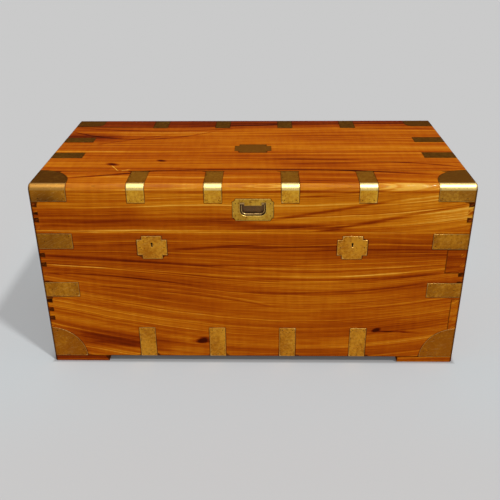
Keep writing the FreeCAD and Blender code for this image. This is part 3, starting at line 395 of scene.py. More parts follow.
@dataclass(frozen=True)
class Streak:
    """A dark vein between two points, or a light one if its strength is below 0."""

    start: Spot
    end: Spot
    half: float
    strength: float
    sag: float = 0.0

    LONGEST_END = 0.05

    def shade(self, paint: Paint, along: Wire, across: Wire, ripple: Wire) -> Wire:
        """How much it darkens each point.

        Args:
            paint: the material's nodes.
            along: where a point is along the grain.
            across: where it is across the grain.
            ripple: how far the streak's path is pushed aside there.

        Returns:
            The amount.
        """
        (x0, y0), (x1, y1) = self.start, self.end
        way = (along - x0) * (1.0 / (x1 - x0))
        middle = way * (y1 - y0) + way * (1.0 - way) * (4.0 * self.sag) + y0
        soft = min(self.LONGEST_END, abs(x1 - x0) * 0.3)
        ends = paint.between(along, (x0 - soft, x0 + soft), (x1 + soft, x1 - soft))
        return paint.hill(across - middle + ripple, 0.0, self.half) * ends * self.strength


def streaks_on(face: Callable[[float, float], Spot], *rows: tuple[float, ...]) -> tuple[Streak, ...]:
    """The streaks of one face.

    Args:
        face: on_front or on_top.
        rows: for each streak its start and its end on that face, its half width, its strength and perhaps
            its sag.

    Returns:
        The streaks.
    """
    return tuple(Streak(face(*row[:2]), face(*row[2:4]), *row[4:]) for row in rows)


@dataclass(frozen=True)
class Patch:
    """A let-in repair of other wood, with a dark joint round it."""

    low: Spot
    high: Spot
    tone: float

    def beyond(self, paint: Paint, along: Wire, across: Wire) -> Wire:
        """How far each point is outside the patch, or inside it if below 0."""
        (x0, y0), (x1, y1) = self.low, self.high
        return paint.most(abs(along - (x0 + x1) / 2) - abs(x1 - x0) / 2,
                          abs(across - (y0 + y1) / 2) - abs(y1 - y0) / 2)


@dataclass(frozen=True)
class Mend:
    """A stretch of a front corner joint that has been filled, so that its pins hardly show."""

    low: float
    high: float
    side: int

    SOFT = 0.001
    INNER = (HALF_LENGTH - 0.030, HALF_LENGTH - 0.025)
    FACE = (-HALF_DEPTH + 0.008, -HALF_DEPTH + 0.002)

    def strength(self, paint: Paint) -> Wire:
        """How far each point lies within the mend."""
        x, y, z = paint.axes()
        return (paint.between(z, (self.low, self.low + self.SOFT), (self.high, self.high - self.SOFT))
                * paint.fade(x * self.side, *self.INNER) * paint.fade(y, *self.FACE))


@dataclass(frozen=True)
class Bow:
    """How the growth lines of a board curve left and right of a middle, and where across it they start to."""

    middle: float = 0.0
    left: float = 0.0
    right: float = 0.0
    flat_at: float = -2.0
    full_at: float = -1.9

    def bend(self, paint: Paint, along: Wire, across: Wire) -> Wire:
        """How far the growth lines are bent aside at each point."""
        left, right = paint.least(along - self.middle, 0.0), paint.most(along - self.middle, 0.0)
        return ((left * left * self.left + right * right * self.right)
                * paint.fade(across, self.flat_at, self.full_at))


@dataclass(frozen=True)
class Layer:
    """A layer of a wood's figure: noise with so many units to the metre along and across the grain."""

    along: float
    across: float
    shift: float = 0.0
    detail: float = 2.0
    rough: float = 0.5
    weight: float = 1.0

    def noise(self, paint: Paint, along: Wire, across: Wire, seed: float) -> Wire:
        """The layer at each point, about 0.5."""
        return paint.noise(along * self.along, across * self.across, seed + self.shift,
                           self.detail, self.rough)

    def swing(self, noise: Wire) -> Wire:
        """How far the layer's noise shifts what it is added to."""
        return (noise - 0.5) * self.weight


@dataclass(frozen=True)
class Camphorwood:
    """Polished figured camphorwood, with dirt worked into its joints."""

    name: str
    grain: Grain = Grain.ALONG_THE_LENGTH
    seed: float = 0.0
    tone: float = 0.0
    gloss: float = 0.40
    polish: float = 0.02
    contrast: float = 1.0
    bow: Bow = Bow()
    knots: tuple[Knot, ...] = ()
    streaks: tuple[Streak, ...] = ()
    patches: tuple[Patch, ...] = ()
    mends: tuple[Mend, ...] = ()

    DARK = colour(66, 18, 3)
    RED = colour(126, 42, 4)
    ORANGE = colour(172, 79, 6)
    HONEY = colour(214, 130, 20)
    PALE = colour(236, 172, 62)
    END_DARK = colour(52, 16, 4)
    END_LIGHT = colour(140, 60, 12)
    # Dirt colour, also used for painted shade on the box's outer edges.
    DIRT_AND_SHADE = colour(36, 14, 4)

    SWEEP = Layer(1.1, 2.6, detail=1.0, weight=0.06)
    RIPPLE = Layer(4.5, 13.0, shift=3.0, weight=0.012)
    BANDS = Layer(0.35, 42.0, 9.0, 3.0, 0.6, 0.80)
    VEINS = Layer(1.3, 170.0, 15.0, 3.0, 0.6, 0.75)
    LINES = Layer(0.9, 260.0, 18.0, 1.0)
    FIBRE = Layer(12.0, 620.0, weight=0.45)
    CLOUD = Layer(1.8, 6.0, 21.0, 1.0, weight=0.5)
    FIGURE = Layer(75.0, 12.0, 30.0, 1.0, weight=0.12)
    PORES = Layer(42.0, 1300.0, 40.0, 1.0)
    RINGS = Layer(420.0, 420.0, 50.0, weight=0.5)
    PINS = 34.0
    SOIL = Layer(60.0, 60.0, 60.0)
    WEAR = Layer(9.0, 30.0, 70.0, 3.0)

    TONES = (0.0, DARK), (0.28, RED), (0.55, ORANGE), (0.86, HONEY), (1.0, PALE)
    END_TONES = (0.42, END_DARK), (0.58, END_LIGHT)
    MIDDLE_TONE = 0.62
    # The rounded edges are painted a lighter tone: a painted sheen.
    ROUNDED, ROUNDED_TONE = ((0.01, 0.14), (0.998, 0.975)), 0.30
    DARK_LINES, DARKER = (0.58, 0.72), 0.14
    LIGHT_LINES, LIGHTER = (0.42, 0.28), 0.24
    OPEN_PORES = (0.64, 0.74)
    END_ON = (0.75, 0.95)
    RIM_DIRT, RIM_SPREAD, RIM_DEPTH = (1.4, -0.6), 2.2, 0.75
    PATCH_EDGE, PATCH_JOINT, PATCH_SHIFT = 0.0004, 0.0022, 0.613
    COAT_ROUGHNESS = 0.05
    GRAIN_STRENGTH, GRAIN_DEPTH = 0.25, 0.0005

    def directions(self, paint: Paint) -> tuple[Wire, Wire, Wire]:
        """Where a point is along and across the grain, and how far the surface faces along it."""
        (x, y, z), normal = paint.axes(), paint.axes("Normal")
        return ((x, y - z, abs(normal[0])) if self.grain is Grain.ALONG_THE_LENGTH
                else (y, z - x, abs(normal[1])))

    def lay_patches(self, paint: Paint, along: Wire, across: Wire) -> tuple[Wire, Value, Value]:
        """Lay in the patches.

        Args:
            paint: the material's nodes.
            along: where a point is along the grain.
            across: where it is across the grain.

        Returns:
            Where the point is along the grain of its own piece of wood, how much lighter that piece is, and
            how far the point lies in a joint.
        """
        tone, joint = 0.0, 0.0
        for patch in self.patches:
            beyond = patch.beyond(paint, along, across)
            inside = paint.fade(beyond, self.PATCH_EDGE, -self.PATCH_EDGE)
            tone = tone + inside * patch.tone
            along = along + inside * self.PATCH_SHIFT
            joint = paint.most(joint, paint.hill(beyond, 0.0, self.PATCH_JOINT))
        return along, tone, joint

    def contour(self, paint: Paint, along: Wire, across: Wire) -> Wire:
        """Work out the wood's wavy growth lines, which follow the grain.

        Args:
            paint: the material's nodes.
            along: where a point is along the grain.
            across: where it is across the grain.

        Returns:
            The number of the growth line that passes through the point.
        """
        line = across
        for layer in (self.SWEEP, self.RIPPLE):
            line = line + layer.swing(layer.noise(paint, along, across, self.seed))
        if self.bow.left or self.bow.right:
            line = line + self.bow.bend(paint, along, across)
        for knot in self.knots:
            line = line + knot.bend(paint, along, across)
        return line

    def end_colour(self, paint: Paint, along: Wire, across: Wire, line: Wire) -> Wire:
        """The colour of end grain, which differs from pin to pin."""
        each = paint.noise(across * self.PINS, self.seed + 55.0, detail=0.0)
        return paint.ramp(self.RINGS.swing(self.RINGS.noise(paint, line, along, self.seed)) + each,
                          *self.END_TONES)

    @cache
    def material(self) -> bpy.types.Material:
        """Build its nodes.

        Returns:
            The material.
        """
        paint = Paint(self.name)
        along, across, end_on = self.directions(paint)
        along, patched, joint = self.lay_patches(paint, along, across)
        line = self.contour(paint, along, across)
        bands, veins, lines = (layer.noise(paint, along, line, self.seed)
                               for layer in (self.BANDS, self.VEINS, self.LINES))
        fibre, cloud, figure, pores, darkening, wear = (
            layer.noise(paint, along, across, self.seed)
            for layer in (self.FIBRE, self.CLOUD, self.FIGURE, self.PORES, self.SOIL, self.WEAR))
        pores = paint.fade(pores, *self.OPEN_PORES)
        rounded = paint.between(abs(paint.axes("Normal")[2]), *self.ROUNDED)
        growth = self.BANDS.swing(bands) + self.VEINS.swing(veins)
        # The rounded term is a painted sheen: rounded edges are painted a lighter tone.
        tone = (self.MIDDLE_TONE + self.tone + patched + growth * self.contrast + self.FIBRE.swing(fibre)
                + self.CLOUD.swing(cloud) + self.FIGURE.swing(figure) + rounded * self.ROUNDED_TONE
                - paint.fade(lines, *self.DARK_LINES) * self.DARKER
                + paint.fade(lines, *self.LIGHT_LINES) * self.LIGHTER)
        ripple = (veins - 0.5) * 0.010 + (cloud - 0.5) * 0.012
        for streak in self.streaks:
            tone = tone - streak.shade(paint, along, across, ripple)
        for knot in self.knots:
            tone = tone - knot.shade(paint, along, across, veins - 0.5)
        wood = paint.blend(pores * 0.4, paint.ramp(tone, *self.TONES), self.DARK)
        end_grain = paint.fade(end_on, *self.END_ON)
        dirt_and_edge_shade = paint.fade(paint.attribute("rim") - darkening * self.RIM_SPREAD, *self.RIM_DIRT) * self.RIM_DEPTH
        for mend in self.mends:
            mended = mend.strength(paint)
            end_grain = end_grain * (1.0 - mended)
            dirt_and_edge_shade = dirt_and_edge_shade * (1.0 - mended * 0.9)
        wood = paint.blend(end_grain * 0.9, wood, self.end_colour(paint, along, across, line))
        # Dirt round the plates and in the patch joints, plus painted shade along the box's outer edges.
        dirt_and_edge_shade = paint.most(dirt_and_edge_shade, paint.painted_edge_shade() * 0.8, joint * 0.75)
        wood = paint.blend(dirt_and_edge_shade, wood, self.DIRT_AND_SHADE)
        rough = self.gloss + (wear - 0.5) * 0.16 + pores * 0.12 + end_grain * 0.15 + dirt_and_edge_shade * 0.2
        height = fibre * 0.35 + veins * 0.25 - pores * 0.8
        coat = (1.0 - end_grain) * (self.polish + (wear - 0.5) * 0.03 + rounded * 0.16)
        return paint.finish(Base_Color=wood, Roughness=rough, Specular_IOR_Level=0.0, Coat_Weight=coat,
                            Coat_Roughness=self.COAT_ROUGHNESS,
                            Normal=paint.bump(height, self.GRAIN_STRENGTH, self.GRAIN_DEPTH))


@dataclass(frozen=True)
class Stain:
    """A place where brass has gone darker."""

    place: Triple
    reach: float
    depth: float

    def strength(self, paint: Paint) -> Wire:
        """How far each point has darkened."""
        x, y, z = ((axis - middle) ** 2.0 for axis, middle in zip(paint.axes(), self.place))
        return paint.fade((x + y + z) ** 0.5, self.reach, self.reach * 0.3) * self.depth


@dataclass(frozen=True)
class AgedBrass:
    """Old brass sheet, browned by age, darkest on the lid's top, rubbed bright along its edges."""

    name: str
    clean: Triple = colour(240, 170, 48)
    brown: Triple = colour(198, 122, 26)
    # The top colour is a painted dark reflection on brass that faces up on the lid.
    top: Triple = colour(116, 70, 16)
    age: float = 0.0
    seed: float = 0.0
    # How bright the lid's rounded edges are painted: partly wear and partly a painted highlight.
    rub_and_highlight: float = 0.85
    stains: tuple[Stain, ...] = ()

    STAINED = colour(110, 62, 16)
    PAN = colour(116, 85, 58)
    BRIGHT = colour(250, 222, 140)
    # Dirt colour for grime and specks, also used for painted shade in the pan walls and on rounded corners.
    DIRT_AND_SHADE = colour(44, 24, 8)

    ON_TOP = (HEIGHT - 0.0015, HEIGHT - 0.0007)
    BEHIND_NOSE = (NOSE_EDGE - 0.0015, NOSE_EDGE)
    ABOVE_FRONT = (TOP_JOINT - 0.006, TOP_JOINT)
    PAN_DEPTH = (0.0010, 0.0030), (0.0145, 0.0130)
    WALL_DEPTH = (0.0003, 0.0009), (0.0096, 0.0080)
    FACING_UP = (0.985, 0.998)
    ROUNDED_UP = (0.04, 0.22)
    YOUNG, OLD = 0.38, 0.64
    SPECK = (0.69, 0.75)
    SCRATCH = (0.60, 0.68)
    WORN_RIM = (0.7, -0.2)
    GRIMY_RIM, GRIMY_SPOT = (1.4, 1.5), (0.48, 0.62)
    EDGE_WEAR = 0.32
    GLOSS = 0.34
    DENT_STRENGTH, DENT_DEPTH = 0.22, 0.0008

    def scratches(self, paint: Paint) -> Wire:
        """1 along fine slanting scratches, and 0 elsewhere."""
        x, y, z = paint.axes()
        return paint.fade(paint.noise(x * 25.0 + z * 90.0, y * 60.0, z * 900.0 - x * 400.0), *self.SCRATCH)

    @cache
    def material(self) -> bpy.types.Material:
        """Build its nodes.

        Returns:
            The material.
        """
        paint = Paint(self.name)
        _, y, z = paint.axes()
        up = paint.axes("Normal")[2]
        rim = paint.attribute("rim")
        depth = paint.depth()
        cloud = paint.mottle(22.0, self.seed, 3.0, 0.6)
        mottle = paint.mottle(130.0, self.seed, 4.0, 0.65)
        specks = paint.fade(paint.mottle(260.0, detail=1.0), *self.SPECK)
        scratch = self.scratches(paint)
        age = paint.fade(cloud * 0.5 + mottle * 0.5, self.YOUNG - self.age, self.OLD - self.age)
        metal = paint.blend(age, self.clean, self.brown)
        for stain in self.stains:
            metal = paint.blend(stain.strength(paint), metal, self.STAINED)
        # Painted dark reflection: brass facing up on the lid's top is blended to the darker top colour.
        high = paint.fade(z, *self.ABOVE_FRONT)
        lying = paint.fade(z, *self.ON_TOP) * paint.fade(y, *self.BEHIND_NOSE)
        top = paint.most(paint.fade(up, *self.FACING_UP) * high, lying)
        metal = paint.blend(top * (0.94 + (mottle - 0.5) * 0.2), metal, self.top)
        rounded = paint.fade(up, *self.ROUNDED_UP) * (1.0 - top) * high
        pan = paint.between(depth, *self.PAN_DEPTH) * (1.0 - rounded)
        # The pan's side walls, darkened below as painted shade.
        walls = paint.between(depth, *self.WALL_DEPTH) * (1.0 - rounded)
        metal = paint.blend(pan * (0.8 + cloud * 0.4), metal, self.PAN)
        wear_and_highlight = paint.fade(rim - mottle, *self.WORN_RIM) * (self.EDGE_WEAR - top * self.EDGE_WEAR)
        # Rim wear, and on the lid's rounded edges a painted highlight besides the wear.
        wear_and_highlight = paint.most(wear_and_highlight, rounded * self.rub_and_highlight)
        metal = paint.blend(wear_and_highlight * (1.0 - pan), metal, self.BRIGHT)
        grime = paint.hill(rim - cloud * 2.0, *self.GRIMY_RIM) * paint.fade(mottle, *self.GRIMY_SPOT)
        # Grime and specks are real; the pan walls and the box's rounded corners get painted shade.
        darkening = paint.most(grime * 0.6, specks * 0.5, walls * 0.8, paint.painted_edge_shade() * 0.8)
        metal = paint.blend(darkening, metal, self.DIRT_AND_SHADE)
        metal = paint.blend(scratch * 0.12 * (1.0 - top), metal, self.BRIGHT)
        rough = (self.GLOSS + age * 0.10 + darkening * 0.3 - scratch * 0.06 + (mottle - 0.5) * 0.12 + top * 0.12
                 - rounded * 0.08)
        height = mottle * 0.4 - scratch * 0.4 - darkening * 0.8 + cloud * 1.2
        shine = 1.0 - paint.most(darkening * 0.8, top * 0.97, pan * 0.5)
        return paint.finish(Base_Color=metal, Metallic=shine, Roughness=rough, Specular_IOR_Level=0.0,
                            Normal=paint.bump(height, self.DENT_STRENGTH, self.DENT_DEPTH))


@dataclass(frozen=True)
class PlainMetal:
    """A metal of one colour, with fine scratches and dark specks."""

    name: str
    tint: Triple
    shade: Triple
    gloss: float = 0.34

    SHADED = (0.42, 0.66)
    SCRATCH_STRENGTH, SCRATCH_DEPTH = 0.15, 0.0004

    @cache
    def material(self) -> bpy.types.Material:
        """Build its nodes.

        Returns:
            The material.
        """
        paint = Paint(self.name)
        mottle = paint.mottle(150.0, detail=3.0, rough=0.6)
        metal = paint.blend(paint.fade(mottle, *self.SHADED), self.tint, self.shade)
        height = paint.mottle(600.0, detail=1.0) + mottle
        return paint.finish(Base_Color=metal, Metallic=1.0, Roughness=self.gloss + (mottle - 0.5) * 0.3,
                            Normal=paint.bump(height, self.SCRATCH_STRENGTH, self.SCRATCH_DEPTH))


def seen_directly(tree: Tree) -> Wire:
    """1 for what the camera sees, straight or in a reflection, and 0 for light that falls on things."""
    path = tree.node("ShaderNodeLightPath")
    return tree.most(*tree.outputs(path, "Is Camera Ray", "Is Glossy Ray", "Is Transmission Ray"))


@dataclass(frozen=True)
class Ground:
    """The pale floor, partly even in tone, so that shadows on it are soft."""

    name: str = "pale_floor"
    grey: float = 0.59
    cool: Triple = (0.586, 0.618, 0.632)
    evenness: float = 0.43

    COOL_REACH = (0.45, 0.05)
    FOOT_REACH, UNDER = (0.010, 0.0), 0.62
    EVEN_REACH, EVEN_UNDER = (-0.002, 0.030), 0.4

    @cache
    def material(self) -> bpy.types.Material:
        """Build its nodes.

        Returns:
            The material.
        """
        paint = Paint(self.name)
        x, y, _ = paint.axes()
        clear = paint.most(abs(x) - HALF_LENGTH, abs(y) - HALF_DEPTH)
        # Painted cool tint near the chest, offsetting the warm light that the wood bounces onto the floor.
        near = paint.blend(paint.fade(clear, *self.COOL_REACH), (self.grey,) * 3, self.cool)
        # Painted contact shadow: the floor is darker within a centimetre of the chest and under it.
        grey = paint.blend(paint.fade(clear, *self.FOOT_REACH), near, (self.grey * self.UNDER,) * 3)
        lit = paint.out("ShaderNodeBsdfDiffuse", sockets={"Color": grey})
        even = paint.out("ShaderNodeEmission", sockets={"Color": grey, "Strength": 1.0})
        even_share = paint.fade(clear, *self.EVEN_REACH, self.evenness * self.EVEN_UNDER, self.evenness)
        share = seen_directly(paint) * even_share
        mixed = paint.out("ShaderNodeMixShader", sockets={0: share, 1: lit, 2: even})
        paint.node("ShaderNodeOutputMaterial", sockets={"Surface": mixed})
        return paint.material


FRONT_MENDS = (Mend(0.266, 0.329, 1), Mend(0.098, 0.196, 1), Mend(0.250, 0.275, -1), Mend(0.097, 0.122, -1),
               Mend(0.379, 0.397, -1), Mend(0.4275, 0.436, -1), Mend(0.379, 0.397, 1), Mend(0.418, 0.436, 1))
FRONT_WOOD = Camphorwood(
    "front_camphorwood", seed=2.0, tone=-0.045, contrast=0.68, bow=Bow(0.10, 0.20, 0.24, -0.62, -0.52),
    knots=(Knot(on_front(0.316, 0.099), 0.005), Knot(on_front(-0.128, 0.066), 0.008, -0.006)),
    streaks=streaks_on(
        on_front,
        (-0.506, 0.264, -0.13, 0.228, 0.004, 0.28, -0.009),
        (-0.383, 0.226, 0.03, 0.172, 0.003, 0.24, -0.009),
        (-0.36, 0.234, 0.02, 0.180, 0.003, -0.20, -0.009),
        (-0.50, 0.313, -0.10, 0.286, 0.006, 0.26),
        (-0.12, 0.287, 0.10, 0.285, 0.004, 0.20),
        (-0.20, 0.329, 0.01, 0.343, 0.006, 0.30),
        (-0.50, 0.286, 0.02, 0.250, 0.004, -0.22, -0.004),
        (-0.01, 0.304, 0.44, 0.311, 0.003, -0.16, 0.006),
        (-0.01, 0.279, 0.40, 0.286, 0.003, -0.20, 0.007),
        (-0.01, 0.258, 0.36, 0.264, 0.003, -0.20, 0.006),
        (-0.01, 0.240, 0.22, 0.240, 0.003, -0.18, 0.003),
        (-0.44, 0.086, -0.24, 0.040, 0.017, 0.33),
        (-0.42, 0.060, -0.30, 0.045, 0.012, 0.22),
        (-0.02, 0.336, 0.22, 0.338, 0.005, 0.31),
        (-0.01, 0.252, 0.46, 0.268, 0.005, 0.26, 0.014),
        (-0.01, 0.211, 0.41, 0.236, 0.005, 0.26, 0.016),
        (0.31, 0.099, 0.41, 0.094, 0.004, 0.35),
        (-0.15, 0.064, -0.08, 0.060, 0.009, 0.35),
        (-0.60, 0.33, -0.20, 0.33, 0.075, 0.14),
        (-0.60, 0.07, -0.20, 0.07, 0.060, 0.19),
        (0.20, 0.06, 0.60, 0.06, 0.070, -0.12),
        (0.15, 0.33, 0.60, 0.32, 0.060, 0.08),
        (-0.46, 0.3755, 0.50, 0.3755, 0.0035, -0.34)),
    patches=(Patch(on_front(0.470, 0.329), on_front(0.530, 0.266), -0.16),
             Patch(on_front(0.4965, 0.190), on_front(0.530, 0.100), -0.03)),
    mends=FRONT_MENDS)
LID_FRONT_WOOD = Camphorwood(
    "lid_front_camphorwood", seed=5.0, tone=0.02, bow=Bow(-0.05, 0.0, 0.14),
    streaks=streaks_on(
        on_front,
        (0.05, 0.408, 0.345, 0.459, 0.006, 0.32),
        (0.118, 0.466, 0.31, 0.480, 0.005, 0.25),
        (0.17, 0.382, 0.49, 0.441, 0.007, 0.34),
        (-0.52, 0.394, -0.02, 0.404, 0.016, 0.32),
        (-0.60, 0.43, -0.26, 0.43, 0.060, 0.18),
        (0.02, 0.44, 0.60, 0.43, 0.060, -0.14),
        (-0.05, 0.395, 0.20, 0.388, 0.012, 0.30)),
    mends=FRONT_MENDS)
TOP_LINE = streaks_on(
    on_top,
    (-0.440, -0.214, -0.250, -0.172, 0.007, 0.55, -0.004),
    (-0.265, -0.172, 0.265, -0.169, 0.006, 0.50, 0.012),
    (0.240, -0.167, 0.440, -0.193, 0.006, 0.50))
NOSE_WOOD = Camphorwood(
    "nose_camphorwood", seed=5.0, tone=-0.08, bow=Bow(-0.05, 0.0, 0.14),
    streaks=streaks_on(on_front, (0.118, 0.466, 0.31, 0.480, 0.005, 0.25),
                       (-0.26, 0.486, 0.32, 0.486, 0.040, 0.12)) + TOP_LINE)
TOP_WOOD = Camphorwood(
    "top_camphorwood", seed=11.0, tone=-0.01,
    knots=(Knot(on_top(-0.349, -0.122), 0.008, 0.006), Knot(on_top(-0.230, -0.095), 0.006)),
    streaks=TOP_LINE + streaks_on(
        on_top,
        (-0.347, -0.134, -0.322, -0.174, 0.004, -0.50),
        (-0.322, -0.172, -0.300, -0.160, 0.004, -0.50),
        (-0.53, 0.160, -0.12, 0.146, 0.007, 0.30, -0.075),
        (-0.42, 0.035, -0.24, 0.119, 0.006, 0.24),
        (0.274, -0.104, 0.510, -0.143, 0.006, 0.36, 0.01),
        (0.05, -0.086, 0.26, -0.088, 0.008, 0.34),
        (0.08, -0.125, 0.25, -0.125, 0.034, 0.20),
        (0.29, 0.183, 0.52, 0.175, 0.008, 0.36),
        (-0.60, 0.262, 0.60, 0.262, 0.120, 0.44),
        (0.15, 0.06, 0.60, 0.06, 0.080, 0.10),
        (-0.60, 0.206, 0.10, 0.222, 0.010, 0.30, -0.02),
        (-0.50, 0.186, -0.05, 0.182, 0.006, 0.30, -0.03),
        (-0.60, 0.238, 0.60, 0.236, 0.005, 0.25, -0.01),
        (-0.60, 0.120, -0.38, 0.090, 0.060, 0.30)))
BACK_WOOD = Camphorwood("back_camphorwood", seed=23.0, tone=-0.04, bow=Bow(-0.1, 0.12, 0.18))
LEFT_WOOD = Camphorwood(
    "left_camphorwood", Grain.FRONT_TO_BACK, seed=31.0, tone=-0.03, bow=Bow(0.05, 0.3, 0.2),
    mends=tuple(mend for mend in FRONT_MENDS if mend.side < 0))
RIGHT_WOOD = Camphorwood(
    "right_camphorwood", Grain.FRONT_TO_BACK, seed=43.0, tone=-0.01, bow=Bow(0.0, 0.2, 0.3),
    mends=tuple(mend for mend in FRONT_MENDS if mend.side > 0))
INSIDE_WOOD = Camphorwood("inside_camphorwood", seed=57.0, tone=0.14, gloss=0.55, polish=0.05)
FOOT_WOOD = Camphorwood("foot_camphorwood", seed=61.0, tone=-0.26)
LIP_WOOD = Camphorwood("lip_camphorwood", Grain.FRONT_TO_BACK, seed=71.0, tone=0.05, gloss=0.5)

BRIGHT_BRASS = AgedBrass("bright_brass", clean=colour(228, 156, 42), brown=colour(186, 112, 22))
STRAP_BRASS = AgedBrass("strap_brass", clean=colour(244, 184, 54), brown=colour(204, 134, 30))
HANDLE_BRASS = AgedBrass("handle_brass", clean=colour(218, 168, 58), brown=colour(182, 126, 34), seed=1.0)
DULL_BRASS = AgedBrass("dull_brass", top=colour(72, 44, 12), age=0.08, seed=2.0)
MID_BRASS = AgedBrass("mid_brass", clean=colour(208, 138, 34), brown=colour(168, 102, 20),
                      top=colour(104, 62, 16), age=0.04, seed=6.0,
                      stains=(Stain((-0.49, -0.262, 0.35), 0.10, 0.4),))
BROWN_BRASS = AgedBrass("brown_brass", clean=colour(222, 155, 42), brown=colour(176, 111, 25),
                        top=colour(76, 44, 12), age=0.12, seed=3.0, rub_and_highlight=0.14,
                        stains=(Stain((-0.485, -0.262, 0.436), 0.060, 0.9),))
GOLD_CORNER = AgedBrass("gold_corner", clean=colour(208, 150, 48), brown=colour(166, 107, 28),
                        top=colour(92, 56, 16), age=0.08, seed=4.0, rub_and_highlight=0.70)
RED_BRASS = AgedBrass("red_brass", clean=colour(198, 124, 24), brown=colour(167, 93, 14), age=0.10, seed=8.0)
HINGE_BRASS = AgedBrass("hinge_brass", seed=5.0)
PIN_BRASS = PlainMetal("pin_brass", colour(96, 58, 18), colour(40, 24, 10), 0.5)
BAIL_BRASS = PlainMetal("rubbed_bail", colour(184, 148, 92), colour(100, 70, 36), 0.36)
STEEL = PlainMetal("dull_steel", colour(120, 116, 110), colour(74, 68, 62))


# ---------------------------------------------------------------- mesh work

Finish = Camphorwood | AgedBrass | PlainMetal

FLAT, SMOOTH, SHARP = (math.radians(angle) for angle in (0.3, 30.0, 38.0))
MERGE = 2e-6
ON_PLANE = 1e-6
SAME = 1e-4
LEVEL = 0.001
PIN_HOLE_EDGE = 0.0008
EDGE_STEP = 0.001
CHEST_MIDDLE = Vector((0.0, 0.0, 0.27))
MILLIMETRES = 1000.0
FAR = 100.0


def clean_copy(node: str) -> bmesh.types.BMesh:
    """Copy a CAD node's mesh, merged, with its flat faces whole again.

    Args:
        node: the CAD node.

    Returns:
        The copy.
    """
    shape = bmesh.new()
    shape.from_mesh(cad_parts[node].data)
    bmesh.ops.remove_doubles(shape, verts=shape.verts[:], dist=MERGE)
    bmesh.ops.dissolve_limit(shape, angle_limit=FLAT, verts=shape.verts[:], edges=shape.edges[:])
    return shape


def sharp_edges(shape: bmesh.types.BMesh) -> list[bmesh.types.BMEdge]:
    """The edges at which two faces meet at a clear angle."""
    return [edge for edge in shape.edges if len(edge.link_faces) == 2 and edge.calc_face_angle(0.0) > SHARP]


def shows(edge: bmesh.types.BMEdge) -> bool:
    """Whether an edge gathers dirt: not a pin hole's, the lid's seam or the joint under its top."""
    level = [all(abs(vert.co.z - height) < LEVEL for vert in edge.verts) for height in (TOP_JOINT, SEAM)]
    return edge.calc_length() > PIN_HOLE_EDGE and not any(level)


def islands(shape: bmesh.types.BMesh) -> list[list[Vector]]:
    """Sort a mesh's points by the separate solids that they are on.

    Args:
        shape: the mesh.

    Returns:
        The points of each solid.
    """
    seen, found = set(), []
    for start in shape.verts:
        stack, points = [start], []
        while stack:
            vert = stack.pop()
            if vert not in seen:
                seen.add(vert)
                points.append(vert.co.copy())
                stack += [edge.other_vert(vert) for edge in vert.link_edges]
        if points:
            found.append(points)
    return found


def box_of(points: Iterable[Vector]) -> tuple[Vector, Vector]:
    """Lowest and highest corner of some points."""
    columns = list(zip(*points))
    return Vector([min(column) for column in columns]), Vector([max(column) for column in columns])


def unit(axis: int) -> Vector:
    """A vector of length one along an axis."""
    return Vector([float(axis == number) for number in range(3)])


def slice_up(shape: bmesh.types.BMesh, cell: float) -> None:
    """Cut a mesh by planes across each axis, so that its faces can hold an attribute.

    Args:
        shape: the mesh.
        cell: about how far apart the planes are.
    """
    low, high = box_of([vert.co for vert in shape.verts])
    for axis in range(3):
        size = high[axis] - low[axis]
        count = int(size / cell)
        for number in range(1, count):
            place = unit(axis) * (low[axis] + size * number / count)
            bmesh.ops.bisect_plane(shape, geom=[*shape.verts, *shape.edges, *shape.faces], dist=ON_PLANE,
                                   plane_co=place, plane_no=unit(axis))


def measure_rim(shape: bmesh.types.BMesh, edges: Iterable[tuple[Vector, Vector]]) -> None:
    """Store on each point how many millimetres it is from the nearest of some edges.

    Args:
        shape: the mesh.
        edges: the two ends of each edge.
    """
    spots = []
    for start, stop in edges:
        count = max(1, round((stop - start).length / EDGE_STEP))
        spots += [start.lerp(stop, number / count) for number in range(count + 1)]
    near = KDTree(len(spots))
    for number, spot in enumerate(spots):
        near.insert(spot, number)
    near.balance()
    layer = shape.verts.layers.float.new("rim")
    for vert in shape.verts:
        vert[layer] = near.find(vert.co)[2] * MILLIMETRES if spots else FAR


def register(piece: bpy.types.Object, body: str, node: str) -> None:
    """Say which body a finished piece rides on, its material slot, and the CAD node that it stands for.

    Args:
        piece: the piece.
        body: the body.
        node: the CAD node.
    """
    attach(piece, body)
    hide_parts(node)
    log.info("%s rides on %s: %d faces", piece.name, body, len(piece.data.polygons))


def worked(node: str, body: str, finish: Finish, cell: float, ease: float = 0.0) -> None:
    """Make a worked copy of a CAD node, with its edges eased, its faces divided and its rim measured.

    Args:
        node: the CAD node that the piece stands for.
        body: the body that it rides on.
        finish: its finish.
        cell: how large its faces may be.
        ease: the width of the flat that is filed along its outer edges.
    """
    shape = clean_copy(node)
    edges = sharp_edges(shape)
    ends = [(edge.verts[0].co.copy(), edge.verts[1].co.copy()) for edge in edges if shows(edge)]
    if ease:
        outer = [edge for edge in edges if edge.is_convex and edge.calc_length() > 3 * ease]
        bmesh.ops.bevel(shape, geom=outer, offset=ease, offset_type="OFFSET", segments=1, profile=0.5,
                        affect="EDGES", clamp_overlap=False)
    slice_up(shape, cell)
    measure_rim(shape, ends)
    mesh = bpy.data.meshes.new(f"aged_{node}")
    shape.to_mesh(mesh)
    shape.free()
    if mesh.has_custom_normals:
        mesh.attributes.remove(mesh.attributes["custom_normal"])
    mesh.shade_smooth()
    mesh.set_sharp_from_angle(angle=SMOOTH)
    mesh.materials.append(finish.material())
    register(link(f"aged_{node}", mesh), body, node)


# ---------------------------------------------------------------- fixings

ABOVE_MIDDLE = 0.001
COLLAR_WIDTH, COLLAR_LENGTH, INNER_COLLAR = 1.03, 0.12, 0.86
TRUNNION_ROOT = 0.0006
SQUARE_TURN = math.pi / 2


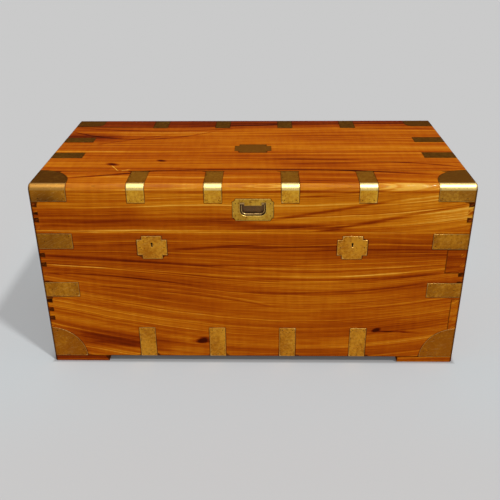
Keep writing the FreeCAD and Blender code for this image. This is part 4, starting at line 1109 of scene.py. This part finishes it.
def head_points(node: str) -> bpy.types.Mesh:
    """The outer end of each pin or screw in a CAD node, with the way that it faces.

    Args:
        node: a CAD node of separate rods.

    Returns:
        A mesh of loose points that carry the vector attribute "facing".
    """
    shape = clean_copy(node)
    spots, ways = [], []
    for points in islands(shape):
        low, high = box_of(points)
        middle = (low + high) / 2
        axis = max(range(3), key=lambda number: high[number] - low[number])
        outward = unit(axis)
        ends = [middle + outward * (high[axis] - middle[axis]) * sign for sign in (-1, 1)]
        wide = [max((point - end - outward * (point - end).dot(outward)).length for point in points
                    if abs((point - end).dot(outward)) < SAME) for end in ends]
        if abs(wide[0] - wide[1]) < SAME:
            wide = [(end - CHEST_MIDDLE).length for end in ends]
        head = int(wide[1] > wide[0])
        spots.append(ends[head])
        ways.append(outward * (1 if head else -1))
    shape.free()
    mesh = bpy.data.meshes.new(f"{node}_points")
    mesh.from_pydata(spots, [], [])
    facing = mesh.attributes.new("facing", "FLOAT_VECTOR", "POINT")
    for item, way in zip(facing.data, ways):
        item.vector = way
    return mesh


def facing_instances(shape: Shape, head: Wire, turn: Wire | None = None) -> Wire:
    """Set a head on every point of the tree's mesh, facing the way that the point does.

    Args:
        shape: the tree.
        head: what is set.
        turn: how each is turned about its own axis.

    Returns:
        The heads, as instances.
    """
    facing = shape.out("GeometryNodeInputNamedAttribute", {"data_type": "FLOAT_VECTOR"}, {"Name": "facing"})
    aligned = shape.out("FunctionNodeAlignRotationToVector", {"axis": "Z"}, {"Vector": facing})
    if turn is not None:
        aligned = shape.out("FunctionNodeRotateRotation", {"rotation_space": "LOCAL"},
                            {"Rotation": aligned, "Rotate By": turn})
    (points,) = shape.given("Geometry")
    return shape.out("GeometryNodeInstanceOnPoints",
                     sockets={"Points": points, "Instance": head, "Rotation": aligned})


def pin_tree() -> Shape:
    """Pins with slightly domed heads, sunk below the surface by Sink.

    Returns:
        The tree.
    """
    shape = Shape("brass_pins", Radius=0.0012, Length=0.008, Dome=0.0003, Sink=0.0001)
    radius, length, dome, sink = shape.given("Radius", "Length", "Dome", "Sink")
    ball = shape.out("GeometryNodeMeshUVSphere", sockets={"Segments": 10, "Rings": 6, "Radius": 1.0})
    x, y, z = shape.parts(shape.out("GeometryNodeInputPosition"))
    above = shape.math("GREATER_THAN", z, ABOVE_MIDDLE)
    height = z * (above * dome + (1.0 - above) * length) - sink - dome
    pin = shape.out("GeometryNodeSetPosition",
                    sockets={"Geometry": ball, "Position": shape.vector(x * radius, y * radius, height)})
    shape.end(facing_instances(shape, shape.out("GeometryNodeSetShadeSmooth", sockets={0: pin})))
    return shape


def screw_tree() -> Shape:
    """Countersunk screws, each with a slot turned its own way.

    Returns:
        The tree.
    """
    shape = Shape("slotted_screws", Head=0.0034, Shank=0.0016, Sink=0.0018, Length=0.011, Slot=0.0009)
    head, shank, sink, length, slot = shape.given("Head", "Shank", "Sink", "Length", "Slot")
    cone = shape.out("GeometryNodeMeshCone", {"fill_type": "NGON"},
                     {"Vertices": 24, "Radius Top": head, "Radius Bottom": shank, "Depth": sink})
    groove = shape.out("GeometryNodeMeshCube", sockets={"Size": shape.vector(head * 3.0, slot, slot * 1.8)})
    cut = shape.out("GeometryNodeMeshBoolean", {"operation": "DIFFERENCE"},
                    {"Mesh 1": shape.move(cone, shape.vector(z=sink * -1.0)), "Mesh 2": groove})
    rod = shape.rod(16, shank * 0.999, length - sink * 0.5)
    screw = shape.join(shape.move(rod, shape.vector(z=(length + sink * 0.5) * -0.5)), cut)
    angle = shape.out("FunctionNodeRandomValue", {"data_type": "FLOAT"}, {"Max": math.pi, "Seed": 7}, 1)
    turn = shape.out("FunctionNodeEulerToRotation", sockets={0: shape.vector(z=angle)})
    shape.end(facing_instances(shape, screw, turn))
    return shape


def bail_tree() -> Shape:
    """A U-shaped bail that swells into a grip, with a turned barrel and a trunnion at each end.

    Returns:
        The tree.
    """
    shape = Shape("swelling_bail", Arm=0.0271, Drop=0.0268, Bend=0.0106, Wire=0.0016, Grip=0.0021,
                  Barrel=0.0031, Reach=0.0299, Long=0.0088, Trunnion=0.0015, Tip=0.0322,
                  Turn=0.0, X=0.0, Y=0.0, Z=0.0)
    outline, arm, drop, bend, wire, grip = shape.given("Geometry", "Arm", "Drop", "Bend", "Wire", "Grip")
    barrel, reach, long, trunnion, tip = shape.given("Barrel", "Reach", "Long", "Trunnion", "Tip")
    turn, *place = shape.given("Turn", "X", "Y", "Z")
    x, _, z = shape.parts(shape.out("GeometryNodeInputPosition"))
    path = shape.out("GeometryNodeSetPosition",
                     sockets={"Geometry": outline, "Position": shape.vector(x * arm, z=z * drop)})
    path = shape.out("GeometryNodeMeshToCurve", sockets={0: path})
    path = shape.out("GeometryNodeFilletCurve", {"mode": "POLY"},
                     {"Curve": path, "Count": 12, "Radius": bend})
    path = shape.out("GeometryNodeResampleCurve", sockets={"Curve": path, "Count": 64})
    swell = shape.math("SINE", shape.out("GeometryNodeSplineParameter") * math.pi) ** 6.0
    path = shape.out("GeometryNodeSetCurveRadius",
                     sockets={"Curve": path, "Radius": wire + swell * (grip - wire)})
    section = shape.out("GeometryNodeCurvePrimitiveCircle", sockets={"Resolution": 16, "Radius": 1.0})
    thick = shape.out("GeometryNodeInputRadius")
    pieces = [shape.out("GeometryNodeCurveToMesh", sockets={
        "Curve": path, "Profile Curve": section, "Scale": thick, "Fill Caps": True})]
    collar = barrel * COLLAR_WIDTH, long * COLLAR_LENGTH
    rods = ((barrel, long, reach), (*collar, reach), (*collar, reach - long * INNER_COLLAR),
            (trunnion, tip - reach + TRUNNION_ROOT, tip))
    for sign in (-1.0, 1.0):
        pieces += [shape.move(shape.rod(24, radius, size), shape.vector((end - size * 0.5) * sign),
                              (0.0, SQUARE_TURN, 0.0)) for radius, size, end in rods]
    placed = shape.move(shape.join(*pieces), shape.vector(*place), shape.vector(z=turn))
    shape.end(shape.out("GeometryNodeSetShadeSmooth", sockets={0: placed}))
    return shape


def set_fixings(tree: Shape, kind: str, look: str, finish: PlainMetal) -> None:
    """Set the pins or the screws of the carcass, and those of the lid.

    Args:
        tree: the tree that makes them.
        kind: what the CAD nodes are called, after the body.
        look: what the pieces are called, after the body.
        finish: their finish.
    """
    for body in ("carcass", "lid"):
        piece = tree.build(f"{body}_{look}", head_points(f"{body}_{kind}"), finish.material())
        register(piece, body, f"{body}_{kind}")


# ---------------------------------------------------------------- sub-assemblies

@dataclass
class Carcass:
    """The box: four dovetailed boards, its bottom, its feet and the dust lips inside its mouth."""

    cell: float = 0.009

    def build(self) -> None:
        """Make every board."""
        for finish, *nodes in (
                (FRONT_WOOD, "front_board"), (BACK_WOOD, "back_board"),
                (LEFT_WOOD, "left_end_board"), (RIGHT_WOOD, "right_end_board"),
                (INSIDE_WOOD, "bottom_plank_front", "bottom_plank_back", "dust_lip_front"),
                (LIP_WOOD, "dust_lip_left", "dust_lip_right"),
                (FOOT_WOOD, *(f"foot_{corner}" for corner in CORNERS))):
            for node in nodes:
                worked(node, "carcass", finish, self.cell)


@dataclass
class Lid:
    """The lid: four rails under a top of two planks."""

    cell: float = 0.009

    def build(self) -> None:
        """Make every board."""
        for finish, node in (
                (LID_FRONT_WOOD, "lid_front_rail"), (NOSE_WOOD, "lid_top_front_plank"),
                (TOP_WOOD, "lid_top_back_plank"), (BACK_WOOD, "lid_back_rail"),
                (LEFT_WOOD, "lid_left_rail"), (RIGHT_WOOD, "lid_right_rail")):
            worked(node, "lid", finish, self.cell)


@dataclass
class Binding:
    """The inlaid straps, corners and plates, and the pins that hold them."""

    cell: float = 0.006
    ease: float = 0.0003

    def build(self) -> None:
        """Make every plate, then the pins."""
        for body, finish, *nodes in (
                ("carcass", MID_BRASS, *(f"corner_straps_{corner}" for corner in CORNERS)),
                ("carcass", RED_BRASS, *(f"base_corner_{corner}" for corner in CORNERS)),
                ("carcass", BRIGHT_BRASS, "base_straps_front", "base_straps_back", "base_straps_ends",
                 *(f"escutcheon_{side}" for side in SIDES)),
                ("lid", BROWN_BRASS, "lid_corner_front_left", "lid_corner_back_left",
                 "lid_corner_back_right"),
                ("lid", GOLD_CORNER, "lid_corner_front_right"), ("lid", MID_BRASS, "cartouche"),
                ("lid", STRAP_BRASS, "lid_straps_front"),
                ("lid", DULL_BRASS, "lid_straps_back", "lid_straps_ends")):
            for node in nodes:
                worked(node, body, finish, self.cell, self.ease)
        set_fixings(pin_tree(), "brass_pins", "pin_heads", PIN_BRASS)


@dataclass
class FlushHandle:
    """A plate with a sunk pan, and the bail that swings in it."""

    name: str
    body: str
    axle: Triple
    turn: float = 0.0
    sizes: Mapping[str, float] = field(default_factory=dict)
    cell: float = 0.004
    ease: float = 0.0003

    def build(self) -> None:
        """Make the plate and the bail."""
        worked(f"{self.name}_handle_plate", self.body, HANDLE_BRASS, self.cell, self.ease)
        outline = bpy.data.meshes.new(f"{self.name}_bail_outline")
        outline.from_pydata([(-1, 0, 0), (-1, 0, -1), (1, 0, -1), (1, 0, 0)], [(0, 1), (1, 2), (2, 3)], [])
        x, y, z = self.axle
        piece = bail_tree().build(f"{self.name}_swelling_bail", outline, BAIL_BRASS.material(),
                                  X=x, Y=y, Z=z, Turn=self.turn, **self.sizes)
        piece.data.set_sharp_from_angle(angle=SMOOTH)
        register(piece, f"{self.name}_bail", f"{self.name}_handle_bail")


@dataclass
class Locks:
    """Two box locks with sliding bolts, and the keepers over them."""

    cell: float = 0.006

    def build(self) -> None:
        """Make the cases, caps, bolts and keepers."""
        worked("lock_caps", "carcass", STEEL, self.cell)
        for side in SIDES:
            worked(f"lock_case_{side}", "carcass", STEEL, self.cell)
            worked(f"lock_bolt_{side}", f"{side}_bolt", STEEL, self.cell)
            worked(f"lock_keeper_{side}", "lid", HINGE_BRASS, self.cell)


@dataclass
class Hinges:
    """The hinges along the back, and all the screws."""

    cell: float = 0.006

    def build(self) -> None:
        """Make the leaves, the pins and the screws."""
        worked("hinge_lower_leaves", "carcass", HINGE_BRASS, self.cell)
        worked("hinge_upper_leaves", "lid", HINGE_BRASS, self.cell)
        worked("hinge_pins", "carcass", STEEL, self.cell)
        set_fixings(screw_tree(), "screws", "slotted_screws", STEEL)


@dataclass(frozen=True)
class Softbox:
    """A bright panel that shows only as a shine on polished surfaces."""

    name: str
    place: Triple
    aim: Triple
    sides: tuple[float, float]
    glow: float

    def hang(self) -> None:
        """Hang it, facing the point that it aims at."""
        lamp = bpy.data.lights.new(self.name, "AREA")
        lamp.shape = "RECTANGLE"
        lamp.size, lamp.size_y = self.sides
        lamp.energy = self.glow * math.pi * self.sides[0] * self.sides[1]
        hung = link(self.name, lamp)
        hung.location = self.place
        hung.rotation_euler = (Vector(self.aim) - Vector(self.place)).to_track_quat("-Z", "Y").to_euler()
        hung.visible_diffuse = False


@dataclass
class Studio:
    """The floor, the soft lights and the camera."""

    floor_half: float = 30.0
    backdrop: float = 0.59
    fill: float = 0.47
    sun_share: float = 0.53
    sun_way: Triple = (0.252, -0.218, 0.496)
    sun_width: float = 4.0
    softboxes: tuple[Softbox, ...] = (
        Softbox("wide_softbox", (0.315, -0.75, 1.9), (0.315, -0.70, 0.3), (1.97, 1.9), 1.85),
        Softbox("dim_softbox", (-0.985, -0.75, 1.9), (-0.985, -0.70, 0.3), (0.63, 1.9), 0.8),
        Softbox("small_softbox", (0.68, -0.70, 1.9), (0.36, -0.25, 0.49), (0.40, 0.04), 190.0))
    sensor: float = 36.0
    focal: float = 48.35
    camera_place: Triple = (0.0245, -1.7028, 1.0642)
    pitch: float = 27.048
    yaw: float = 1.1562
    roll: float = -0.4294

    def build(self) -> None:
        """Make everything round the chest."""
        self.lay_floor()
        self.light_world()
        self.hang_sun()
        for softbox in self.softboxes:
            softbox.hang()
        self.place_camera()

    def lay_floor(self) -> None:
        """Lay a large flat floor."""
        mesh = bpy.data.meshes.new("floor")
        half = self.floor_half
        corners = [(-half, -half, 0), (half, -half, 0), (half, half, 0), (-half, half, 0)]
        mesh.from_pydata(corners, [], [(0, 1, 2, 3)])
        mesh.materials.append(Ground().material())
        link("floor", mesh)

    def light_world(self) -> None:
        """Light a plain pale world, seen by the camera and in reflections as a backdrop like the floor."""
        world = bpy.data.worlds.new("pale_room")
        world.use_nodes = True
        tree = Tree(world.node_tree)
        strength = seen_directly(tree) * (self.backdrop - self.fill) + self.fill
        light = tree.out("ShaderNodeBackground",
                         sockets={"Color": (1.0, 1.0, 1.0, 1.0), "Strength": strength})
        tree.node("ShaderNodeOutputWorld", sockets={"Surface": light})
        bpy.context.scene.world = world

    def hang_sun(self) -> None:
        """Hang a soft distant key light, high on the right."""
        lamp = bpy.data.lights.new("key", "SUN")
        way = Vector(self.sun_way).normalized()
        lamp.energy = self.sun_share * math.pi / way.z
        lamp.angle = math.radians(self.sun_width)
        link("key", lamp).rotation_euler = way.to_track_quat("Z", "Y").to_euler()

    def place_camera(self) -> None:
        """Place a camera that looks down at the chest's front."""
        lens = bpy.data.cameras.new("camera")
        lens.sensor_width = self.sensor
        lens.lens = self.focal
        camera = link("camera", lens)
        pitch, yaw, roll = (math.radians(angle) for angle in (self.pitch, self.yaw, self.roll))
        forward = Vector((-math.sin(yaw) * math.cos(pitch), math.cos(yaw) * math.cos(pitch),
                          -math.sin(pitch)))
        right = Vector((math.cos(yaw), math.sin(yaw), 0.0))
        up = right.cross(forward)
        across = right * math.cos(roll) + up * math.sin(roll)
        above = up * math.cos(roll) - right * math.sin(roll)
        turned = Matrix((across, above, -forward)).transposed().to_4x4()
        camera.matrix_world = Matrix.Translation(self.camera_place) @ turned
        bpy.context.scene.camera = camera


CARRYING_BAIL = {"Arm": 0.0408, "Drop": 0.042, "Bend": 0.0138, "Wire": 0.0021, "Grip": 0.0030,
                 "Barrel": 0.0040, "Reach": 0.0444, "Long": 0.0116, "Tip": 0.0467}


def main() -> None:
    """Build the sub-assemblies in order, then the studio."""
    logging.basicConfig(level=logging.INFO, format="%(name)s: %(message)s")
    assemblies = (Carcass(), Lid(), Binding(),
                  FlushHandle("front", "lid", (0.003, -0.258, 0.4482)),
                  FlushHandle("left", "carcass", (-0.515, 0.0, 0.2882), -SQUARE_TURN, CARRYING_BAIL),
                  FlushHandle("right", "carcass", (0.515, 0.0, 0.2882), SQUARE_TURN, CARRYING_BAIL),
                  Locks(), Hinges(), Studio())
    for assembly in assemblies:
        log.info("building: %s", type(assembly).__doc__.splitlines()[0])
        assembly.build()
    bpy.context.scene.view_settings.view_transform = "Standard"


if __name__ == "__main__":
    main()
